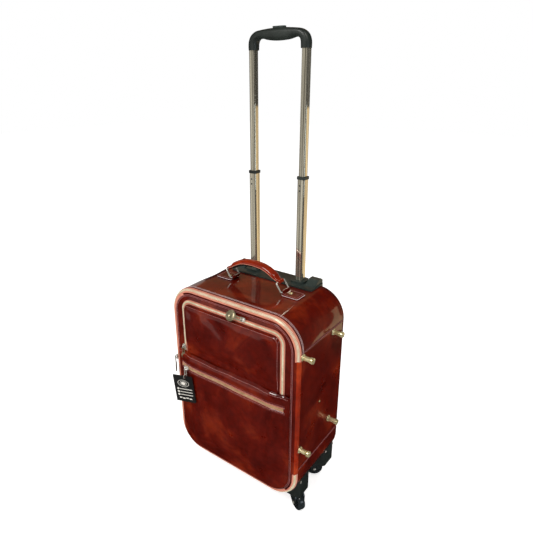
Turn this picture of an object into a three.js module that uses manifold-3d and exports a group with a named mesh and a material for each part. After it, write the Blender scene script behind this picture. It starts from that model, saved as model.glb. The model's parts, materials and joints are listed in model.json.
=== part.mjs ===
// Pilot rolling flight case: a leather trolley case on four spinner casters, with a zipped front lid that
// carries two pockets, a carry handle on top and a two-stage telescopic pull handle.
// Millimetres, +Z up, +X to the right and +Y to the back. The origin is on the floor, under the middle of
// the whole object's box. The pull handle is extended and the lid is closed.

import * as THREE from "three";
import { mergeVertices } from "three/addons/utils/BufferGeometryUtils.js";
import Module from "manifold-3d";

const wasm = await Module();
wasm.setup();

// ---- Driving dimensions ------------------------------------------------------------------------------

const GAP = 0.3; // clearance between pieces that touch

// Case body, lid included
const WIDTH = 350;
const DEPTH = 198;
const HEIGHT = 453;
const FLOOR_GAP = 55; // from the floor to the underside of the case
const CORNER = 67; // corner radius of the front outline
const BACK_ROUND = 12; // rounding of the back edge
const FRONT_ROUND = 11; // rounding of the front edge, which the main zip follows
const WALL = 4; // leather over board
const SEAM_HIGH = 440; // height of the seams between the side panels and the top wrap
const SEAM_LOW = 144; // height of the seams between the side panels and the bottom wrap
const CASE_Y = 17.75; // the case's middle lies this far behind the middle of the whole object

const FRONT = CASE_Y - DEPTH / 2;
const BACK = CASE_Y + DEPTH / 2;
const BOTTOM = FLOOR_GAP;
const TOP = FLOOR_GAP + HEIGHT;
const SIDE = WIDTH / 2;
const SHELL_FRONT = FRONT + FRONT_ROUND + GAP;
const SHELL_BACK = BACK - BACK_ROUND;

// Lid and main zip
const TAPE = 2.2; // thickness of the zip tapes and of the hinge strip
const ZIP_END_HIGH = 425; // heights at which the main zip ends on the right edge
const ZIP_END_LOW = 137;
const LID_INSET = FRONT_ROUND + 1.2;
const LID_THICK = 5;
const LINING = 1.5;

// Upper pocket
const UPPER = { left: -138, right: 143, top: 481, bottom: 333, round: 26, zip: 9, depth: 13 };
const UPPER_ZIP_PROUD = 3.4;
const UPPER_FOOT = { height: 372, depth: 8.5 }; // it is flatter where it goes behind the lower pocket

// Lower pocket, a pan that is open at its top edge
const LOWER = { inset: 17, top: 340, depth: 17, skin: 2.5, round: 12 };
const LOWER_ZIP = { left: -143, right: 145, z: 309, height: 9, parked: 21 };

// Pull handle: square tubes that run inside each other
const TUBE_X = 64;
const TUBE_Y = CASE_Y + 79;
const TUBE_OUTER = { size: 21, low: 80, high: TOP - 0.4 };
const TUBE_MID = { size: 18, low: 455, high: 744.7 };
const TUBE_UPPER = { size: 15, low: 700, high: 1008 };
const TUBE_WALL = 1.15;
const TUBE_ROUND = 3;
const COLLAR = { size: 20.4, low: 745, high: 751 };
const GRIP = { half: 79, low: 996, bar: 1011, high: 1035, socket: 28, depth: 27, round: 5 };
const BUTTON = { length: 30, width: 12, proud: 2.5, travel: 3, seat: 9 };

// Bezel that the tubes come out of
const BEZEL = { half: 114, front: CASE_Y + 45, thick: 3.6, boss: 17.5, bossHigh: 8 };
const EAR = { inner: 87, outer: 112, front: 62, high: 15 };

// Carry handle on top
const HANDLE_Y = CASE_Y + 8;
const RING_X = 70; // the rings turn in the tabs at this distance from the middle
const RING_Z = TOP + 6.2;
const RING = { reach: 23, half: 17, wire: 1.7 };
const RING_LEAN = 35 * THREE.MathUtils.DEG2RAD; // the handle lies over to the left
const TAB = { outer: 112, half: 16.5, thick: 3 };
const LOOP = { hole: 2.7, outer: 4.8, half: 12 };
const HANDLE = { rise: 24, width: 22, thick: 14 };

// Side feet on the right and the strap handle on the left stand equally proud
const SIDE_REACH = 25;
const FEET = [
  [-84, 432],
  [41, 432],
  [-84, 200],
  [41, 200],
];
const SIDE_HANDLE = { half: 85, low: 215, width: 28, thick: 5 };

// Casters
const CASTER = { x: 148, y: 58, trail: 14, radius: 20.5, width: 17, pin: 3, bore: 3.4 };
const CASTER_Y = CASE_Y + 6; // middle between the front and the rear casters
const HOUSING = { inner: 108, outer: 172, half: 31, low: 48, high: 104 };
const FORK = { top: 47.4, crown: 43.2, arm: 2.8, side: 9.6, boss: 8.5, disc: 15 };
// Each caster: name, side, front or rear, and the heading of its trail in degrees
const CASTERS = [
  ["front_right", 1, -1, -28],
  ["rear_right", 1, 1, 216],
  ["front_left", -1, -1, 50],
  ["rear_left", -1, 1, 160],
];

// Zip sliders and pulls
const MAIN_SLIDER_Z = 311; // height of the main zip's slider
const UPPER_SLIDER_X = 41; // place of the upper zip's slider on its top run
const UPPER_SLIDER_Z = 357; // height of the upper zip's other slider, on its left run
const UPPER_TILT = 35 * THREE.MathUtils.DEG2RAD; // the top slider and its pull lean back from upright
const SLIDER = { long: 12, wide: 9, thick: 3.2, crown: 5, plate: 1.4, hole: 1.6, pivot: 2.6 };
const PULL = { link: 18, half: 4, wire: 1.4, disc: 12, smallDisc: 8, thick: 2 };
const TAG = { width: 53, height: 73, thick: 1.2, hole: 2.6, holeAside: 5.5, holeDown: 6.5 };
const TAG_YAW = 14 * THREE.MathUtils.DEG2RAD;
const TAG_ROLL = -5.6 * THREE.MathUtils.DEG2RAD;
const TAG_RING = { radius: 5, wire: 0.7, behind: 2.3, ahead: 1.7 };

// ---- Materials ---------------------------------------------------------------------------------------

const material = (color, roughness, metalness = 0) =>
  new THREE.MeshStandardMaterial({ color, roughness, metalness });

const leather = material(0x6e1a0c, 0.25);
const brightLeather = material(0xa02a08, 0.3);
const zipTape = material(0xd98b7a, 0.8);
const brass = material(0xb8a040, 0.25, 1);
const chrome = material(0xd8d8d4, 0.12, 1);
const blackPlastic = material(0x232825, 0.4);
const tyre = material(0x1c2020, 0.3);
const liningCloth = material(0x3a2418, 0.9);
const steel = material(0x9a9a98, 0.4, 1);
const board = material(0x4a3a2a, 0.85);
const card = material(0x101010, 0.5);

// ---- Solid helpers -----------------------------------------------------------------------------------

// A closed geometry as a manifold-3d solid.
function solidOf(geometry) {
  const bare = new THREE.BufferGeometry();
  const flat = geometry.index ? geometry.toNonIndexed() : geometry;
  bare.setAttribute("position", flat.getAttribute("position"));
  const merged = mergeVertices(bare, 1e-4);
  return new wasm.Manifold(
    new wasm.Mesh({
      numProp: 3,
      vertProperties: new Float32Array(merged.attributes.position.array),
      triVerts: new Uint32Array(merged.index.array),
    }),
  );
}

function geometryOf(solid) {
  const mesh = solid.getMesh();
  const points = new Float32Array(mesh.numVert * 3);
  for (let i = 0; i < mesh.numVert; i++) {
    points.set(mesh.vertProperties.subarray(i * mesh.numProp, i * mesh.numProp + 3), i * 3);
  }
  return new THREE.BufferGeometry()
    .setAttribute("position", new THREE.BufferAttribute(points, 3))
    .setIndex(new THREE.BufferAttribute(new Uint32Array(mesh.triVerts), 1));
}

const join = (first, ...rest) =>
  geometryOf(rest.reduce((sum, g) => sum.add(solidOf(g)), solidOf(first)));

const cut = (first, ...tools) =>
  geometryOf(tools.reduce((left, g) => left.subtract(solidOf(g)), solidOf(first)));

const common = (a, b) => geometryOf(solidOf(a).intersect(solidOf(b)));

// A box between two corners.
function block([x0, y0, z0], [x1, y1, z1]) {
  return new THREE.BoxGeometry(x1 - x0, y1 - y0, z1 - z0).translate(
    (x0 + x1) / 2,
    (y0 + y1) / 2,
    (z0 + z1) / 2,
  );
}

// A cylinder centred on the origin, along the named axis.
function rod(radius, length, axis, sides = 20) {
  const geometry = new THREE.CylinderGeometry(radius, radius, length, sides);
  if (axis === "x") geometry.rotateZ(Math.PI / 2);
  if (axis === "z") geometry.rotateX(Math.PI / 2);
  return geometry;
}

// ---- Outlines ----------------------------------------------------------------------------------------

// A rectangle with its own radius at the two low and the two high corners.
function roundedRect(left, right, low, high, lowRound, highRound = lowRound) {
  const shape = new THREE.Shape();
  const quarter = Math.PI / 2;
  if (lowRound > 0) {
    shape.absarc(left + lowRound, low + lowRound, lowRound, 2 * quarter, 3 * quarter);
    shape.absarc(right - lowRound, low + lowRound, lowRound, 3 * quarter, 4 * quarter);
  } else {
    shape.moveTo(left, low);
    shape.lineTo(right, low);
  }
  if (highRound > 0) {
    shape.absarc(right - highRound, high - highRound, highRound, 0, quarter);
    shape.absarc(left + highRound, high - highRound, highRound, quarter, 2 * quarter);
  } else {
    shape.lineTo(right, high);
    shape.lineTo(left, high);
  }
  shape.closePath();
  return shape;
}

const caseOutline = (inset) =>
  roundedRect(-SIDE + inset, SIDE - inset, BOTTOM + inset, TOP - inset, CORNER - inset);

const square = (size, round) => roundedRect(-size / 2, size / 2, -size / 2, size / 2, round);

// An outline drawn as (x, z), extruded from yFront to yBack. A bevel rounds both ends.
function plate(outline, yFront, yBack, bevel = 0, bevelSize = bevel, segments = 8) {
  return new THREE.ExtrudeGeometry(outline, {
    depth: yBack - yFront - 2 * bevel,
    bevelEnabled: bevel > 0,
    bevelThickness: bevel,
    bevelSize,
    bevelOffset: -bevelSize,
    bevelSegments: 3,
    curveSegments: segments,
  })
    .rotateX(Math.PI / 2)
    .translate(0, yBack - bevel, 0);
}

// An outline drawn as (x, y), extruded from zLow to zHigh.
function slab(outline, zLow, zHigh, segments = 6) {
  return new THREE.ExtrudeGeometry(outline, {
    depth: zHigh - zLow,
    bevelEnabled: false,
    curveSegments: segments,
  }).translate(0, 0, zLow);
}

// A plate whose back edge is rounded and whose front is cut square at yFront.
function roundBackPlate(inset, yFront, yBack, round) {
  const full = plate(caseOutline(inset), yFront - 2 * round, yBack, round);
  const front = block([-SIDE - 9, yFront - 3 * round, 0], [SIDE + 9, yFront, TOP + 9]);
  return cut(full, front);
}

// ---- Sweeps along the case's edge --------------------------------------------------------------------

const outlinePoint = (x, z, nx, nz) => ({ x, z, nx, nz });

// Points with outward normals round one corner whose arc centre is (cx, cz).
function cornerPoints(cx, cz, radius, fromAngle, steps) {
  return Array.from({ length: steps + 1 }, (_, i) => {
    const a = fromAngle + (i / steps) * (Math.PI / 2);
    return outlinePoint(cx + radius * Math.cos(a), cz + radius * Math.sin(a), Math.cos(a), Math.sin(a));
  });
}

// The path of the main zip: up the right edge, over the top, down the left side and across the bottom.
function mainZipPath(steps = 8) {
  const xr = SIDE - CORNER;
  const zt = TOP - CORNER;
  const zb = BOTTOM + CORNER;
  const quarter = Math.PI / 2;
  return [
    ...cornerPoints(xr, zt, CORNER, 0, steps),
    ...cornerPoints(-xr, zt, CORNER, quarter, steps),
    ...cornerPoints(-xr, zb, CORNER, 2 * quarter, steps),
    ...cornerPoints(xr, zb, CORNER, 3 * quarter, steps),
  ];
}

// A closed section, given as [inset, depth] pairs, swept along a path with a cap at each end.
// Inset is measured inwards from the outline and depth backwards from the front of the case.
function sweep(path, section) {
  const points = path.flatMap((p) =>
    section.map(([inset, depth]) => [p.x - p.nx * inset, FRONT + depth, p.z - p.nz * inset]),
  );
  const n = section.length;
  const faces = [];
  for (let i = 0; i + 1 < path.length; i++) {
    for (let j = 0; j < n; j++) {
      const a = i * n + j;
      const b = i * n + ((j + 1) % n);
      faces.push([a, b, a + n], [b, b + n, a + n]);
    }
  }
  const contour = section.map(([u, v]) => new THREE.Vector2(u, v));
  const last = (path.length - 1) * n;
  for (const [a, b, c] of THREE.ShapeUtils.triangulateShape(contour, [])) {
    faces.push([a, c, b], [last + a, last + b, last + c]);
  }
  const geometry = new THREE.BufferGeometry();
  geometry.setAttribute("position", new THREE.Float32BufferAttribute(points.flat(), 3));
  geometry.setIndex(faces.flat());
  return outwards(geometry);
}

// Turns the faces round if they point inwards.
function outwards(geometry) {
  const p = geometry.getAttribute("position");
  const index = geometry.index.array;
  const at = (i) => new THREE.Vector3().fromBufferAttribute(p, i);
  let volume = 0;
  for (let i = 0; i < index.length; i += 3) {
    volume += at(index[i]).dot(at(index[i + 1]).cross(at(index[i + 2])));
  }
  if (volume > 0) return geometry;
  for (let i = 0; i < index.length; i += 3) {
    [index[i + 1], index[i + 2]] = [index[i + 2], index[i + 1]];
  }
  return geometry;
}

// A strip of the rounded front edge between two angles, 0 at the side and 90 at the front.
function edgeSection(fromDegrees, toDegrees, steps = 3) {
  const arc = (radius, t) => {
    const a = (fromDegrees + t * (toDegrees - fromDegrees)) * THREE.MathUtils.DEG2RAD;
    return [FRONT_ROUND - radius * Math.cos(a), FRONT_ROUND - radius * Math.sin(a)];
  };
  const ts = Array.from({ length: steps + 1 }, (_, i) => i / steps);
  return [...ts.map((t) => arc(FRONT_ROUND, t)), ...ts.reverse().map((t) => arc(FRONT_ROUND - TAPE, t))];
}

// ---- The model ---------------------------------------------------------------------------------------

const group = new THREE.Group();

function add(name, geometry, look) {
  const mesh = new THREE.Mesh(geometry, look);
  mesh.name = name;
  group.add(mesh);
  return mesh;
}

// Case shell: a top wrap, a bottom wrap, two side panels and a back panel with a rounded edge.
function buildShell() {
  const ringShape = caseOutline(0);
  ringShape.holes.push(caseOutline(WALL));
  const ring = plate(ringShape, SHELL_FRONT, SHELL_BACK - GAP);
  const far = SIDE + 20;
  const layer = (low, high, x0 = -far, x1 = far) => block([x0, FRONT, low], [x1, BACK, high]);
  const tubeHoles = [-1, 1].map((s) => {
    const half = TUBE_OUTER.size / 2 + GAP;
    return block(
      [s * TUBE_X - half, TUBE_Y - half, TOP - 20],
      [s * TUBE_X + half, TUBE_Y + half, TOP + 20],
    );
  });
  const topWrap = common(ring, layer(SEAM_HIGH + GAP / 2, TOP + 9));
  add("case_top_wrap", cut(topWrap, ...tubeHoles), leather);
  add("case_bottom_wrap", common(ring, layer(BOTTOM - 9, SEAM_LOW - GAP / 2)), leather);
  const sideLow = SEAM_LOW + GAP / 2;
  const sideHigh = SEAM_HIGH - GAP / 2;
  add("case_side_right", common(ring, layer(sideLow, sideHigh, 0, far)), leather);
  add("case_side_left", common(ring, layer(sideLow, sideHigh, -far, 0)), leather);

  const outer = roundBackPlate(0, SHELL_BACK, BACK, BACK_ROUND);
  const inner = roundBackPlate(WALL, SHELL_BACK - 1, BACK - WALL, BACK_ROUND - WALL);
  add("case_back_panel", cut(outer, inner, ...tubeHoles), leather);
}

// Inside of the case: a board in front of the tubes, and a cloth tub that is open at the front.
function buildInside() {
  const boardY = TUBE_Y - TUBE_OUTER.size / 2 - 3;
  add("inner_board", plate(caseOutline(WALL + GAP), boardY, boardY + 2), board);
  const tubBack = boardY - GAP;
  const outer = plate(caseOutline(WALL + GAP), SHELL_FRONT + 1, tubBack);
  const inner = plate(caseOutline(WALL + GAP + LINING), SHELL_FRONT - 9, tubBack - LINING);
  add("case_lining", cut(outer, inner), liningCloth);
}

// The two halves of the main zip, and the leather strip that hinges the lid between the zip's ends.
function buildLidEdge() {
  const right = (z) => outlinePoint(SIDE, z, 1, 0);
  const path = [right(ZIP_END_HIGH), ...mainZipPath(), right(ZIP_END_LOW)];
  const halfGap = 1.5; // degrees
  add("main_zip_case_side", sweep(path, edgeSection(0, 45 - halfGap)), zipTape);
  add("main_zip_lid_side", sweep(path, edgeSection(45 + halfGap, 90)), zipTape);
  const strip = [right(ZIP_END_HIGH - GAP), right(ZIP_END_LOW + GAP)];
  add("lid_hinge_strip", sweep(strip, edgeSection(0, 78)), brightLeather);
}

function buildLid() {
  const back = FRONT + LID_THICK;
  add("lid_panel", plate(caseOutline(LID_INSET), FRONT, back), leather);
  add("lid_lining", plate(caseOutline(LID_INSET + 4), back + GAP, back + GAP + LINING), liningCloth);
}

// Upper pocket: a puffy panel inside a U-shaped zip. Its foot is flatter and goes behind the lower pocket.
function buildUpperPocket() {
  const u = UPPER;
  const face = FRONT - GAP;
  const z = u.zip;
  const arch = new THREE.Shape();
  arch.moveTo(u.right, u.bottom);
  arch.absarc(u.right - u.round, u.top - u.round, u.round, 0, Math.PI / 2);
  arch.absarc(u.left + u.round, u.top - u.round, u.round, Math.PI / 2, Math.PI);
  arch.lineTo(u.left, u.bottom);
  arch.lineTo(u.left + z, u.bottom);
  arch.absarc(u.left + u.round, u.top - u.round, u.round - z, Math.PI, Math.PI / 2, true);
  arch.absarc(u.right - u.round, u.top - u.round, u.round - z, Math.PI / 2, 0, true);
  arch.lineTo(u.right - z, u.bottom);
  arch.closePath();
  add("upper_pocket_zip", plate(arch, face - UPPER_ZIP_PROUD, face, 0, 0, 5), zipTape);

  const inset = z + GAP;
  const outline = roundedRect(
    u.left + inset,
    u.right - inset,
    u.bottom,
    u.top - inset,
    12,
    u.round - inset,
  );
  const puffy = plate(outline, FRONT - u.depth, FRONT + u.depth, 9, 8, 5);
  const behind = block([-SIDE, FRONT - GAP, 0], [SIDE, FRONT + 30, TOP]);
  const foot = block([-SIDE, FRONT - 40, 0], [SIDE, FRONT - UPPER_FOOT.depth, UPPER_FOOT.height]);
  add("upper_pocket", cut(puffy, behind, foot), leather);
}

// Lower pocket: a leather pan across the whole lid, open along its top edge, with a zip let into its front.
function buildLowerPocket() {
  const p = LOWER;
  const round = CORNER - p.inset;
  const reach = SIDE - p.inset;
  const shell = (skin) =>
    plate(
      roundedRect(-reach + skin, reach - skin, BOTTOM + p.inset + skin, p.top + 60, round - skin, 0),
      FRONT - p.depth + skin,
      FRONT + p.depth - skin,
      p.round - skin,
      p.round - skin,
      6,
    );
  const above = block([-SIDE, FRONT - 40, p.top], [SIDE, FRONT + 40, TOP]);
  const behind = block([-SIDE, FRONT - GAP, 0], [SIDE, FRONT + 40, TOP]);
  const z = LOWER_ZIP;
  const slot = block(
    [z.left, FRONT - 40, z.z - z.height / 2],
    [z.right, FRONT - p.depth + p.skin + 1, z.z + z.height / 2],
  );
  add("lower_pocket", cut(shell(0), shell(p.skin), above, behind, slot), leather);
  const bar = block(
    [z.left + GAP, FRONT - p.depth + 0.4, z.z - z.height / 2 + GAP],
    [z.right - GAP, FRONT - p.depth + p.skin - 0.2, z.z + z.height / 2 - GAP],
  );
  add("lower_pocket_zip", bar, zipTape);
}

// A square tube between two heights.
function tube(size, low, high) {
  const shape = square(size, TUBE_ROUND);
  shape.holes.push(square(size - 2 * TUBE_WALL, TUBE_ROUND - TUBE_WALL));
  return slab(shape, low, high, 2);
}

const SIDES = [
  ["left", -1],
  ["right", 1],
];

function buildPullHandle() {
  for (const [name, s] of SIDES) {
    const stages = [
      ["outer_tube_", TUBE_OUTER, steel],
      ["mid_tube_", TUBE_MID, chrome],
      ["upper_tube_", TUBE_UPPER, chrome],
    ];
    for (const [stage, t, look] of stages) {
      add(stage + name, tube(t.size, t.low, t.high), look).position.set(s * TUBE_X, TUBE_Y, 0);
    }
    const ring = square(COLLAR.size, TUBE_ROUND);
    ring.holes.push(square(TUBE_UPPER.size + 2 * GAP, TUBE_ROUND - 0.5));
    const collar = add("mid_collar_" + name, slab(ring, COLLAR.low, COLLAR.high, 2), blackPlastic);
    collar.position.set(s * TUBE_X, TUBE_Y, 0);
  }
  const half = TUBE_OUTER.size / 2;
  const bracket = block(
    [-TUBE_X - half - 4, TUBE_Y - half, BOTTOM + WALL + 1],
    [TUBE_X + half + 4, TUBE_Y + half, TUBE_OUTER.low - GAP],
  );
  add("tube_base_bracket", bracket, blackPlastic);
}

// Grip: a bar with a socket at each end, and a slot on top for the release button.
function buildGrip() {
  const g = GRIP;
  const outline = roundedRect(-g.half, g.half, g.low, g.high, 6, 16);
  const body = plate(outline, TUBE_Y - g.depth / 2, TUBE_Y + g.depth / 2, g.round, g.round, 5);
  const inner = g.half - g.socket;
  const hand = plate(
    roundedRect(-inner, inner, g.low - 20, g.bar, 0, 7),
    TUBE_Y - g.depth,
    TUBE_Y + g.depth,
    0,
    0,
    4,
  );
  const sockets = [-1, 1].map((s) =>
    slab(square(TUBE_UPPER.size + 2 * GAP, TUBE_ROUND), g.low - 9, TUBE_UPPER.high + GAP, 2).translate(
      s * TUBE_X,
      TUBE_Y,
      0,
    ),
  );
  const b = BUTTON;
  const oblong = (grow) => {
    const x = b.length / 2 + grow;
    const y = b.width / 2 + grow;
    return roundedRect(-x, x, -y, y, b.width / 2);
  };
  const slot = slab(oblong(0.4), g.high - b.seat - b.travel - 1, g.high + 9).translate(0, TUBE_Y, 0);
  add("grip", cut(body, hand, ...sockets, slot), blackPlastic);
  const button = slab(oblong(0), g.high - b.seat, g.high + b.proud);
  add("release_button", button, blackPlastic).position.y = TUBE_Y;
}

// Bezel: a plate on the back of the top, with a boss round each tube and a raised ear at each end.
function buildBezel() {
  const b = BEZEL;
  const low = TOP - BACK_ROUND - 4;
  const base = slab(roundedRect(-b.half, b.half, b.front, BACK, 9, 3), low, TOP + b.thick);
  const tubeBosses = [-1, 1].map((s) =>
    slab(square(2 * b.boss, 9), low, TOP + b.bossHigh).translate(s * TUBE_X, TUBE_Y - 2, 0),
  );
  const ears = [-1, 1].map((s) => {
    const ramp = new THREE.Shape();
    ramp.moveTo(EAR.front + CASE_Y, low);
    ramp.lineTo(BACK, low);
    ramp.lineTo(BACK, TOP + EAR.high - 4);
    ramp.lineTo(BACK - 4, TOP + EAR.high);
    ramp.lineTo(BACK - 18, TOP + EAR.high);
    ramp.lineTo(EAR.front + CASE_Y, TOP + b.thick);
    const wide = EAR.outer - EAR.inner;
    const ear = new THREE.ExtrudeGeometry(ramp, { depth: wide, bevelEnabled: false });
    // The ramp is drawn as (y, z) and extruded along x.
    ear.rotateX(Math.PI / 2).rotateZ(Math.PI / 2);
    return ear.translate((s * (EAR.inner + EAR.outer)) / 2 - wide / 2, 0, 0);
  });
  const grown = roundBackPlate(-GAP, FRONT, BACK + GAP, BACK_ROUND + GAP);
  const holes = [-1, 1].map((s) =>
    slab(square(TUBE_MID.size + 0.8, TUBE_ROUND), low - 9, TOP + 40, 2).translate(s * TUBE_X, TUBE_Y, 0),
  );
  add("handle_bezel", cut(join(base, ...tubeBosses, ...ears), grown, ...holes), blackPlastic);
}

// A leather loop round a ring's wire, along y, at the origin.
const loopSleeve = () => rod(LOOP.outer, 2 * LOOP.half, "y", 12);
const loopHole = () => rod(LOOP.hole, 2 * LOOP.half + 9, "y", 10);

// Carry handle: two tabs on the case, a rectangular ring in each, and a padded arch between the rings.
function buildCarryHandle() {
  const r = RING;
  const w = r.wire;
  const ringOutline = roundedRect(-r.half, r.half, -w, r.reach + w, w + 1);
  ringOutline.holes.push(roundedRect(-r.half + 2 * w, r.half - 2 * w, w, r.reach - w, 1));
  const wireLoop = plate(ringOutline, -w, w, 0, 0, 3).rotateZ(Math.PI / 2);
  const rings = new THREE.Group();
  rings.position.set(0, HANDLE_Y, RING_Z);
  group.add(rings);
  for (const [name, s] of SIDES) {
    const ring = new THREE.Mesh(wireLoop, brass);
    ring.name = "handle_ring_" + name;
    ring.position.x = s * RING_X;
    ring.rotation.y = -RING_LEAN;
    rings.add(ring);

    const inner = s * RING_X;
    const outer = s * TAB.outer;
    const [x0, x1] = inner < outer ? [inner, outer] : [outer, inner];
    const flap = slab(roundedRect(x0, x1, -TAB.half, TAB.half, 4), TOP + GAP, TOP + GAP + TAB.thick, 4);
    const sleeve = loopSleeve().translate(inner, 0, RING_Z);
    const [n0, n1] = s > 0 ? [inner, inner + 9] : [inner - 9, inner];
    const neck = block([n0, -LOOP.half, TOP + GAP], [n1, LOOP.half, RING_Z]);
    const hole = loopHole().translate(inner, 0, RING_Z);
    const floor = block([-SIDE, -60, TOP - 20], [SIDE, 60, TOP + GAP]);
    const tab = cut(join(flap, sleeve, neck), hole, floor);
    add("handle_tab_" + name, tab, brightLeather).position.y = HANDLE_Y;
  }

  const lean = new THREE.Vector2(-Math.sin(RING_LEAN), Math.cos(RING_LEAN)).multiplyScalar(RING.reach);
  const centre = lean.x;
  const base = RING_Z + lean.y;
  const arc = new THREE.CatmullRomCurve3(
    [
      [-RING_X + 3, 2],
      [-RING_X + 16, 10],
      [-RING_X * 0.45, HANDLE.rise - 3],
      [0, HANDLE.rise],
      [RING_X * 0.45, HANDLE.rise - 3],
      [RING_X - 16, 10],
      [RING_X - 3, 2],
    ].map(([x, z]) => new THREE.Vector3(centre + x, 0, base + z)),
  );
  const section = roundedRect(
    -HANDLE.thick / 2,
    HANDLE.thick / 2,
    -HANDLE.width / 2,
    HANDLE.width / 2,
    6,
  );
  const arch = new THREE.ExtrudeGeometry(section, { steps: 16, extrudePath: arc, curveSegments: 2 });
  const ends = [-1, 1].map((s) => loopSleeve().translate(centre + s * RING_X, 0, base));
  const holes = [-1, 1].map((s) => loopHole().translate(centre + s * RING_X, 0, base));
  const handle = cut(join(arch, ...ends), ...holes);
  add("carry_handle", handle, brightLeather).position.y = HANDLE_Y;
}

// Four brass feet on the right side, to lie the case down on.
function buildSideFeet() {
  const profile = [
    [0, 0],
    [7.5, 0],
    [7.5, 2],
    [5, 3],
    [5, SIDE_REACH - 7],
    [6.4, SIDE_REACH - 6],
    [6.4, SIDE_REACH - 1],
    [5.6, SIDE_REACH - GAP],
    [0, SIDE_REACH - GAP],
  ].map(([r, h]) => new THREE.Vector2(r, h));
  FEET.forEach(([y, z], i) => {
    const foot = add("side_foot_" + (i + 1), new THREE.LatheGeometry(profile, 16), brass);
    foot.rotation.z = -Math.PI / 2;
    foot.position.set(SIDE + GAP, CASE_Y + y, z);
  });
}

// A strap handle along the left side, with room for a hand behind it.
function buildSideHandle() {
  const h = SIDE_HANDLE;
  const middle = h.low + h.half;
  const face = -SIDE - GAP;
  const outer = -SIDE - SIDE_REACH;
  const strap = new THREE.Shape();
  strap.moveTo(face, middle - h.half);
  strap.lineTo(face - h.thick, middle - h.half);
  strap.lineTo(face - h.thick, middle - h.half + 22);
  strap.quadraticCurveTo(outer, middle - h.half + 30, outer, middle - 25);
  strap.lineTo(outer, middle + 25);
  strap.quadraticCurveTo(outer, middle + h.half - 30, face - h.thick, middle + h.half - 22);
  strap.lineTo(face - h.thick, middle + h.half);
  strap.lineTo(face, middle + h.half);
  strap.lineTo(face, middle + h.half - 27);
  strap.quadraticCurveTo(outer + h.thick, middle + h.half - 36, outer + h.thick, middle + 25);
  strap.lineTo(outer + h.thick, middle - 25);
  strap.quadraticCurveTo(outer + h.thick, middle - h.half + 36, face, middle - h.half + 27);
  strap.closePath();
  const y = CASE_Y + 6;
  add("side_handle", plate(strap, y - h.width / 2, y + h.width / 2, 0, 0, 6), leather);
}

// A spinner caster in each bottom corner: a housing that fills the corner, a fork and a wheel.
function buildCasters() {
  const c = CASTER;
  const f = FORK;
  const axleZ = c.radius;
  const grown = plate(caseOutline(-GAP), FRONT - 9, BACK + 9);
  for (const [name, sx, sy, heading] of CASTERS) {
    const x = sx * c.x;
    const y = CASTER_Y + sy * c.y;
    const h = HOUSING;
    const [x0, x1] = sx > 0 ? [h.inner, h.outer] : [-h.outer, -h.inner];
    const outline = roundedRect(x0, x1, y - h.half, y + h.half, 12);
    const housing = cut(slab(outline, h.low, h.high), grown);
    add("caster_housing_" + name, housing, blackPlastic);

    // The fork, with its trail along +x from the swivel's axis.
    const turn = (geometry) => geometry.rotateZ(heading * THREE.MathUtils.DEG2RAD).translate(x, y, 0);
    const arm = new THREE.Shape();
    arm.moveTo(-f.disc + 2, f.crown + 2);
    arm.lineTo(-f.disc + 2, f.crown - 3);
    arm.lineTo(c.trail - f.boss * 0.8, axleZ - f.boss * 0.6);
    arm.absarc(c.trail, axleZ, f.boss, Math.PI * 1.2, Math.PI * 2.05);
    arm.lineTo(c.trail + 9, f.crown - 5);
    arm.lineTo(c.trail + 5, f.crown + 2);
    arm.closePath();
    const arms = [-1, 1].map((s) =>
      s > 0 ? plate(arm, f.side, f.side + f.arm, 0, 0, 5) : plate(arm, -f.side - f.arm, -f.side, 0, 0, 5),
    );
    const crown = slab(
      roundedRect(-f.disc + 2, c.trail + 5, -f.side - f.arm, f.side + f.arm, 4),
      f.crown,
      f.crown + 2,
      3,
    );
    const disc = rod(f.disc, f.top - f.crown, "z", 20).translate(0, 0, (f.top + f.crown) / 2);
    const pin = rod(c.pin, 2 * (f.side + f.arm), "y", 12).translate(c.trail, 0, axleZ);
    add("caster_fork_" + name, turn(join(crown, disc, pin, ...arms)), blackPlastic);

    const half = c.width / 2;
    const profile = [
      [c.bore, -half],
      [c.radius - 3, -half],
      [c.radius, -half + 3],
      [c.radius, half - 3],
      [c.radius - 3, half],
      [c.bore, half],
      [c.bore, -half],
    ].map(([r, along]) => new THREE.Vector2(r, along));
    const wheel = new THREE.LatheGeometry(profile, 24).translate(c.trail, 0, 0);
    add("caster_wheel_" + name, turn(wheel.translate(0, 0, axleZ)), tyre);
  }
}

// Zip slider lying in the x-y plane, travelling along x: a flat body and a crown plate with the pull's hole.
// The crown stands along x, or across it where the pull hangs across the zip.
function sliderSolid(crossed) {
  const s = SLIDER;
  const body = slab(roundedRect(-s.long / 2, s.long / 2, -s.wide / 2, s.wide / 2, 2.5), 0, s.thick, 3);
  const crown = new THREE.Shape();
  crown.moveTo(-4, -s.thick / 2);
  crown.lineTo(4, -s.thick / 2);
  crown.lineTo(2.6, s.crown);
  crown.lineTo(-2.6, s.crown);
  crown.closePath();
  const eye = new THREE.Path();
  eye.absarc(0, s.pivot, s.hole, 0, Math.PI * 2, true);
  crown.holes.push(eye);
  const fin = plate(crown, -s.plate / 2, s.plate / 2, 0, 0, 5).translate(0, 0, s.thick);
  if (crossed) fin.rotateZ(Math.PI / 2);
  return join(body, fin);
}

// Pull with its pivot at the origin, lying along +x, flat in the x-y plane: a wire link and, unless its
// radius is 0, a round disc.
function pullSolid(discRadius) {
  const p = PULL;
  const w = p.wire / 2;
  const link = roundedRect(-w, p.link, -p.half, p.half, 1.5);
  link.holes.push(roundedRect(w, p.link - 2 * w, -p.half + 2 * w, p.half - 2 * w, 0.8));
  const wire = slab(link, -w, w, 3);
  if (!discRadius) return wire;
  const disc = rod(discRadius, p.thick, "z", 24).translate(p.link + discRadius - 1.2, 0, 0);
  return join(wire, disc);
}

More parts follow.
